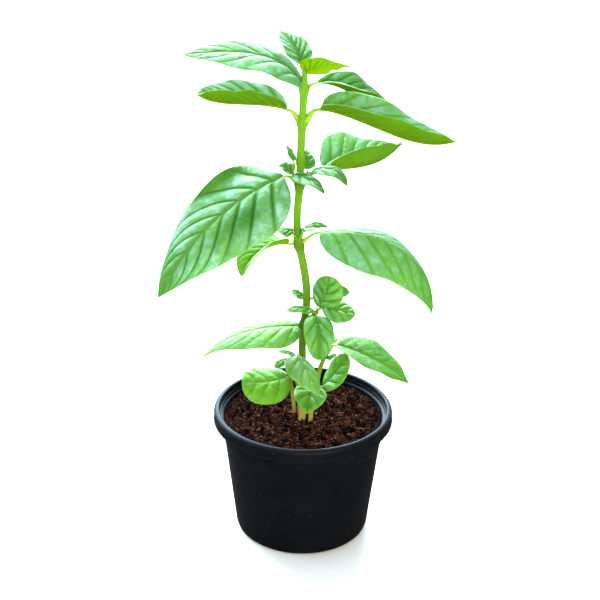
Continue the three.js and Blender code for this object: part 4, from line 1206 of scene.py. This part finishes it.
# what both faces of a blade share: distances from its veins in mm, and how light falls through it
def leafPattern(tree, look):
    where = objectPlace(tree)
    seen = put(tree, "ShaderNodeAttribute", attribute_name="veinMap").outputs["Vector"]
    toned = put(tree, "ShaderNodeAttribute", attribute_name="leafTone").outputs["Vector"]
    offRib, offVein, offEdge = xyz(tree, seen)
    deep, paintedSheenShare, veined = xyz(tree, toned)
    # side veins thin out on their way to the margin
    veinWidth = between(tree, offRib, 0.0, 22.0, 0.34, 0.12)
    vein = fading(tree, calc(tree, "DIVIDE", offVein, veinWidth), 0.3, 1.5)
    rib = fading(tree, offRib, 0.2, 0.6)
    lines = calc(tree, "MAXIMUM", vein, rib)
    # painted shade in the furrows along them and along the midrib; the furrows are widest near the midrib
    furrowWidth = between(tree, offRib, 0.0, 18.0, 1.3, 0.6)
    near = fading(tree, calc(tree, "DIVIDE", offVein, furrowWidth), 0.2, 1.8)
    near = times(tree, near, between(tree, offEdge, 1.0, 9.0, 0.15, 1.0))
    nearRib = fading(tree, offRib, 0.4, 3.2)
    net = cells(tree, where, 1 / (look["netSize"] * mm), "DISTANCE_TO_EDGE").outputs["Distance"]
    glow = laidOver(tree, look["glow"], look["underVein"], lines, 0.4)
    glow = blendColour(tree, times(tree, deep, 0.35, clamp=True), glow, look["deep"])
    return dict(
        where=where, deep=deep, paintedSheenShare=paintedSheenShare, lines=lines, vein=vein, rib=rib, glow=glow,
        young=times(tree, deep, -1.0, clamp=True),  # a leaf with deep below 0 is a young, yellower one
        furrow=times(tree, calc(tree, "MAXIMUM", near, nearRib), veined),
        away=between(tree, calc(tree, "MINIMUM", offVein, offRib), 0.3, 2.3),
        net=fading(tree, net, 0.0, 0.09),
        patches=cloud(tree, where, 55.0, 3.0, 0.6),
        speckle=cloud(tree, where, 900.0, 2.0, 0.5),
        margin=fading(tree, offEdge, 0.1, 0.7),
    )


def drawLines(tree, leaf, colour, look, lines):
    for line, name, strength in look[lines]:
        colour = laidOver(tree, colour, look[name], leaf[line], strength)
    return colour


def finishLeaf(tree, skin, glow, normal, share):
    through = put(tree, "ShaderNodeBsdfTranslucent", {"Color": glow, "Normal": normal}).outputs[0]
    endMaterial(tree, put(tree, "ShaderNodeMixShader", {0: share, 1: skin, 2: through}).outputs[0])


def makeLeafTop(look):
    material, tree = startMaterial("leafTop")
    leaf = leafPattern(tree, look)
    paintedSheenShare, away, patches, speckle = (leaf[name] for name in ("paintedSheenShare", "away", "patches", "speckle"))
    pillow = cells(tree, leaf["where"], 1 / (look["pillowSize"] * mm), "SMOOTH_F1").outputs["Distance"]
    age = calc(tree, "ADD", leaf["deep"], fromCloud(tree, patches, -0.22, 0.22), clamp=True)
    # painted sheen: a teal wash standing in for the sky's reflection, weaker on the veins, with painted
    # highlights on the bulges' tops
    paintedSheen = times(tree, paintedSheenShare, between(tree, patches, 0.35, 0.65, 0.35, 1.2), clamp=True)
    paintedSheen = times(tree, paintedSheen, calc(tree, "MULTIPLY_ADD", away, 0.8, 0.2))
    paintedHighlight = calc(tree, "MULTIPLY_ADD", paintedSheenShare, 0.13, cloud(tree, leaf["where"], 160.0, 4.0, 0.65))
    paintedHighlight = times(tree, paintedSheen, between(tree, paintedHighlight, 0.57, 0.77))
    colour = blendColour(tree, age, look["young"], look["deep"])
    colour = blendColour(tree, leaf["young"], colour, look["lime"])
    colour = blendColour(tree, paintedSheen, colour, look["paintedSheen"])
    colour = laidOver(tree, colour, look["paintedHighlight"], paintedHighlight, away)
    # painted shade towards the pillows' edges and in the furrows
    colour = blendColour(tree, between(tree, pillow, 0.35, 0.8, 0.0, 0.35), colour, look["deep"])
    colour = laidOver(tree, colour, look["furrow"], leaf["furrow"], 0.75)
    colour = drawLines(tree, leaf, colour, look, "topLines")
    height = calc(tree, "MULTIPLY_ADD", leaf["net"], -0.35, times(tree, speckle, 0.22))
    height = calc(tree, "MULTIPLY_ADD", pillow, -2.4, height)
    height = calc(tree, "MULTIPLY_ADD", calc(tree, "POWER", leaf["furrow"], 2.0), -2.2, height)
    normal = bumped(tree, height, 0.15 * mm, 1.0)
    skin = principled(tree, {
        "Base Color": colour,
        "Roughness": fromCloud(tree, speckle, look["gloss"] - 0.05, look["gloss"] + 0.07),
        "Normal": normal,
        "IOR": 1.6,
        "Specular IOR Level": 0.9,
        "Specular Tint": look["shine"],
    })
    # the furrows' painted shade also darkens the light that comes through
    glow = laidOver(tree, leaf["glow"], look["furrow"], leaf["furrow"], 0.55)
    finishLeaf(tree, skin, glow, normal, look["translucency"])
    return material


def makeLeafUnderside(look):
    material, tree = startMaterial("leafUnderside")
    leaf = leafPattern(tree, look)
    shade = tuple(c * 0.75 for c in look["under"])
    colour = blendColour(tree, fromCloud(tree, leaf["patches"]), look["under"], shade)
    colour = blendColour(tree, leaf["young"], colour, look["underYoung"])
    colour = drawLines(tree, leaf, colour, look, "underLines")
    height = calc(tree, "MULTIPLY_ADD", leaf["net"], 0.5, times(tree, leaf["speckle"], 0.4))
    normal = bumped(tree, calc(tree, "ADD", height, leaf["lines"]), 0.10 * mm, 0.8)
    skin = principled(tree, {
        "Base Color": colour,
        "Roughness": fromCloud(tree, leaf["speckle"], 0.55, 0.7),
        "Normal": normal,
        "Specular IOR Level": 0.06,
    })
    finishLeaf(tree, skin, leaf["glow"], normal, look["translucency"])
    return material


def makeStemFinish(look):
    material, tree = startMaterial("greenStem")
    where = objectPlace(tree)
    height = xyz(tree, where)[2]
    wander = fromCloud(tree, cloud(tree, where, 90.0, 2.0), -3 * mm, 3 * mm)
    level = between(tree, calc(tree, "ADD", height, wander), look["low"], look["high"])
    streaks = cloud(tree, stretched(tree, where, (1.0, 1.0, 0.06)), 1400.0, 3.0)
    grain = cloud(tree, where, 2600.0, 2.0)
    colour = spread(tree, level, look["stops"])
    colour = blendColour(tree, between(tree, streaks, 0.4, 0.7, 0.0, 0.3), colour, look["streak"])
    # painted shade, darker around each of these joints, where the leaf pairs shade the stem
    for joint in look["joints"]:
        away = calc(tree, "ABSOLUTE", calc(tree, "SUBTRACT", height, joint * mm))
        near = fading(tree, away, look["jointNear"], look["jointFar"])
        colour = laidOver(tree, colour, look["joint"], near, 0.5)
    relief = calc(tree, "ADD", streaks, times(tree, grain, 0.4))
    endMaterial(tree, principled(tree, {
        "Base Color": colour,
        "Roughness": fromCloud(tree, grain, look["roughness"] - 0.06, look["roughness"] + 0.1),
        "Normal": bumped(tree, relief, 0.15 * mm, 0.5),
        "Specular IOR Level": 0.14,
        "Subsurface Weight": 0.15,
        "Subsurface Radius": (1.2 * mm, 2.0 * mm, 0.4 * mm),
        "Subsurface Scale": 1.0,
    }))
    return material


def makeStalkFinish(look):
    material, tree = startMaterial("leafStalk")
    where = objectPlace(tree)
    mottle = cloud(tree, where, 260.0, 3.0)
    endMaterial(tree, principled(tree, {
        "Base Color": blendColour(tree, fromCloud(tree, mottle), look["stalk"], look["stalkShade"]),
        "Roughness": fromCloud(tree, mottle, 0.38, 0.5),
        "Normal": bumped(tree, cloud(tree, where, 2200.0, 2.0), 0.1 * mm, 0.4),
        "Subsurface Weight": 0.2,
        "Subsurface Radius": (1.0 * mm, 1.8 * mm, 0.3 * mm),
        "Subsurface Scale": 1.0,
    }))
    return material


def makeSoilFinish(look):
    material, tree = startMaterial("pottingMix")
    where = objectPlace(tree)
    tint = put(tree, "ShaderNodeAttribute", attribute_name="tint").outputs["Fac"]
    grain = cloud(tree, where, 1500.0, 4.0, 0.6)
    shade = calc(tree, "ADD", tint, fromCloud(tree, grain, -0.12, 0.12), clamp=True)
    level = vectorMath(tree, "MULTIPLY", where, (1, 1, 0))
    reach = vectorMath(tree, "LENGTH", level, output="Value")
    edge = between(tree, reach, look["edgeFrom"], look["edgeTo"], 0.0, 0.55)
    endMaterial(tree, principled(tree, {
        "Base Color": blendColour(tree, edge, spread(tree, shade, look["stops"]), look["edge"]),
        "Roughness": fromCloud(tree, grain, 0.75, 0.98),
        "Normal": bumped(tree, grain, 0.4 * mm, 0.8),
        "Specular IOR Level": 0.03,
    }))
    return material


def makePotFinish(look):
    material, tree = startMaterial("blackPlastic")
    where = objectPlace(tree)
    mottle = cloud(tree, where, 45.0, 4.0, 0.6)
    grain = cloud(tree, where, 3500.0, 2.0)
    scuff = cloud(tree, stretched(tree, where, (1.0, 1.0, 5.0)), 60.0, 5.0, 0.7)
    scuff = between(tree, scuff, 0.62, 0.8)
    # dust lies as a small speck in a few of the cells
    spots = cells(tree, where, 420.0).outputs
    chosen = put(tree, "ShaderNodeSeparateColor", {0: spots["Color"]}).outputs[0]
    dust = times(tree, fading(tree, spots["Distance"], 0.06, 0.16), between(tree, chosen, 0.90, 0.93))
    colour = blendColour(tree, mottle, look["dark"], look["light"])
    colour = laidOver(tree, colour, look["scuff"], scuff, 0.35)
    colour = laidOver(tree, colour, look["dust"], dust, 0.7)
    rough = fromCloud(tree, mottle, look["smooth"], look["rough"])
    endMaterial(tree, principled(tree, {
        "Base Color": colour,
        "Roughness": calc(tree, "ADD", rough, times(tree, scuff, 0.15)),
        "Normal": bumped(tree, grain, 0.05 * mm, 0.35),
        "Specular IOR Level": 0.14,
        "Specular Tint": look["shine"],
        "Sheen Weight": 0.02,
        "Sheen Roughness": 0.4,
        "Sheen Tint": look["sheen"],
    }))
    return material


leafSkins = [makeLeafTop(leafLook), makeLeafUnderside(leafLook), makeStalkFinish(leafLook)]
stemSkin = makeStemFinish(stemLook)
soilSkin = makeSoilFinish(soilLook)
potSkin = makePotFinish(potLook)
print("finishes ready")


def finishPiece(piece, node):
    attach(piece, "root")
    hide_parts(node)


def pathRadii(stem, path):
    return [stemRadius(stem, z) for z in path[:, 2]]


finishPiece(makePot(potShape, potSkin), "pot")
print("pot ready")

bed = makeSoilBed([soilSkin])
grains = runTree(makeGrainTree(), bed, soilGrains | {"Material": soilSkin})
fibres = runTree(makeFibreTree(), bed, soilFibres | {"Material": soilSkin})
for piece in (bed, addObject("soilGrains", grains), addObject("soilFibres", fibres)):
    finishPiece(piece, "soil")
print("soil ready:", len(grains.polygons), "faces of grains,", len(fibres.polygons), "of fibres")

mainPath = smoothPath(stemTable["main"]["route"])
mainMesh = stemMesh("mainStem", mainPath, pathRadii(stemTable["main"], mainPath), stemSkin, 0)
finishPiece(addObject("mainStem", mainMesh), "main_stem")
print("main stem ready")

for number, (name, own) in enumerate(leafTable.items()):
    leaf = leafValues(leafShape, own["shape"], own["look"])
    stem, z = own["joins"]
    parts = leafParts(leaf, onStem(stemTable[stem], z), False, number)
    finishPiece(makePiece(name + "Blade", parts, leafSkins), name)
print("large leaves ready")


def makeShoot(name, shoot, number):
    if "stem" in shoot:
        stem = stemTable[shoot["stem"]]
        path = smoothPath(stem["route"])
        radii = pathRadii(stem, path)
    else:
        path = smoothPath(shoot["route"])
        heights = [point[2] for point in shoot["route"]]
        radii = np.interp(path[:, 2], heights, [point[3] for point in shoot["route"]])
    stemPart = addObject(name + "Stem", stemMesh(name, path, radii, stemSkin, number + 1))
    parts = []
    for k, (root, shape) in enumerate(shoot["leaves"]):
        leaf = leafValues(smallShape, shape, shoot.get("look", {}))
        parts += leafParts(leaf, root, True, 20 + 7 * number + k)
    return makePiece(name + "Leaves", parts, leafSkins), stemPart


for number, (name, shoot) in enumerate(shootTable.items()):
    for piece in makeShoot(name, shoot, number):
        finishPiece(piece, name)
print("shoots ready")
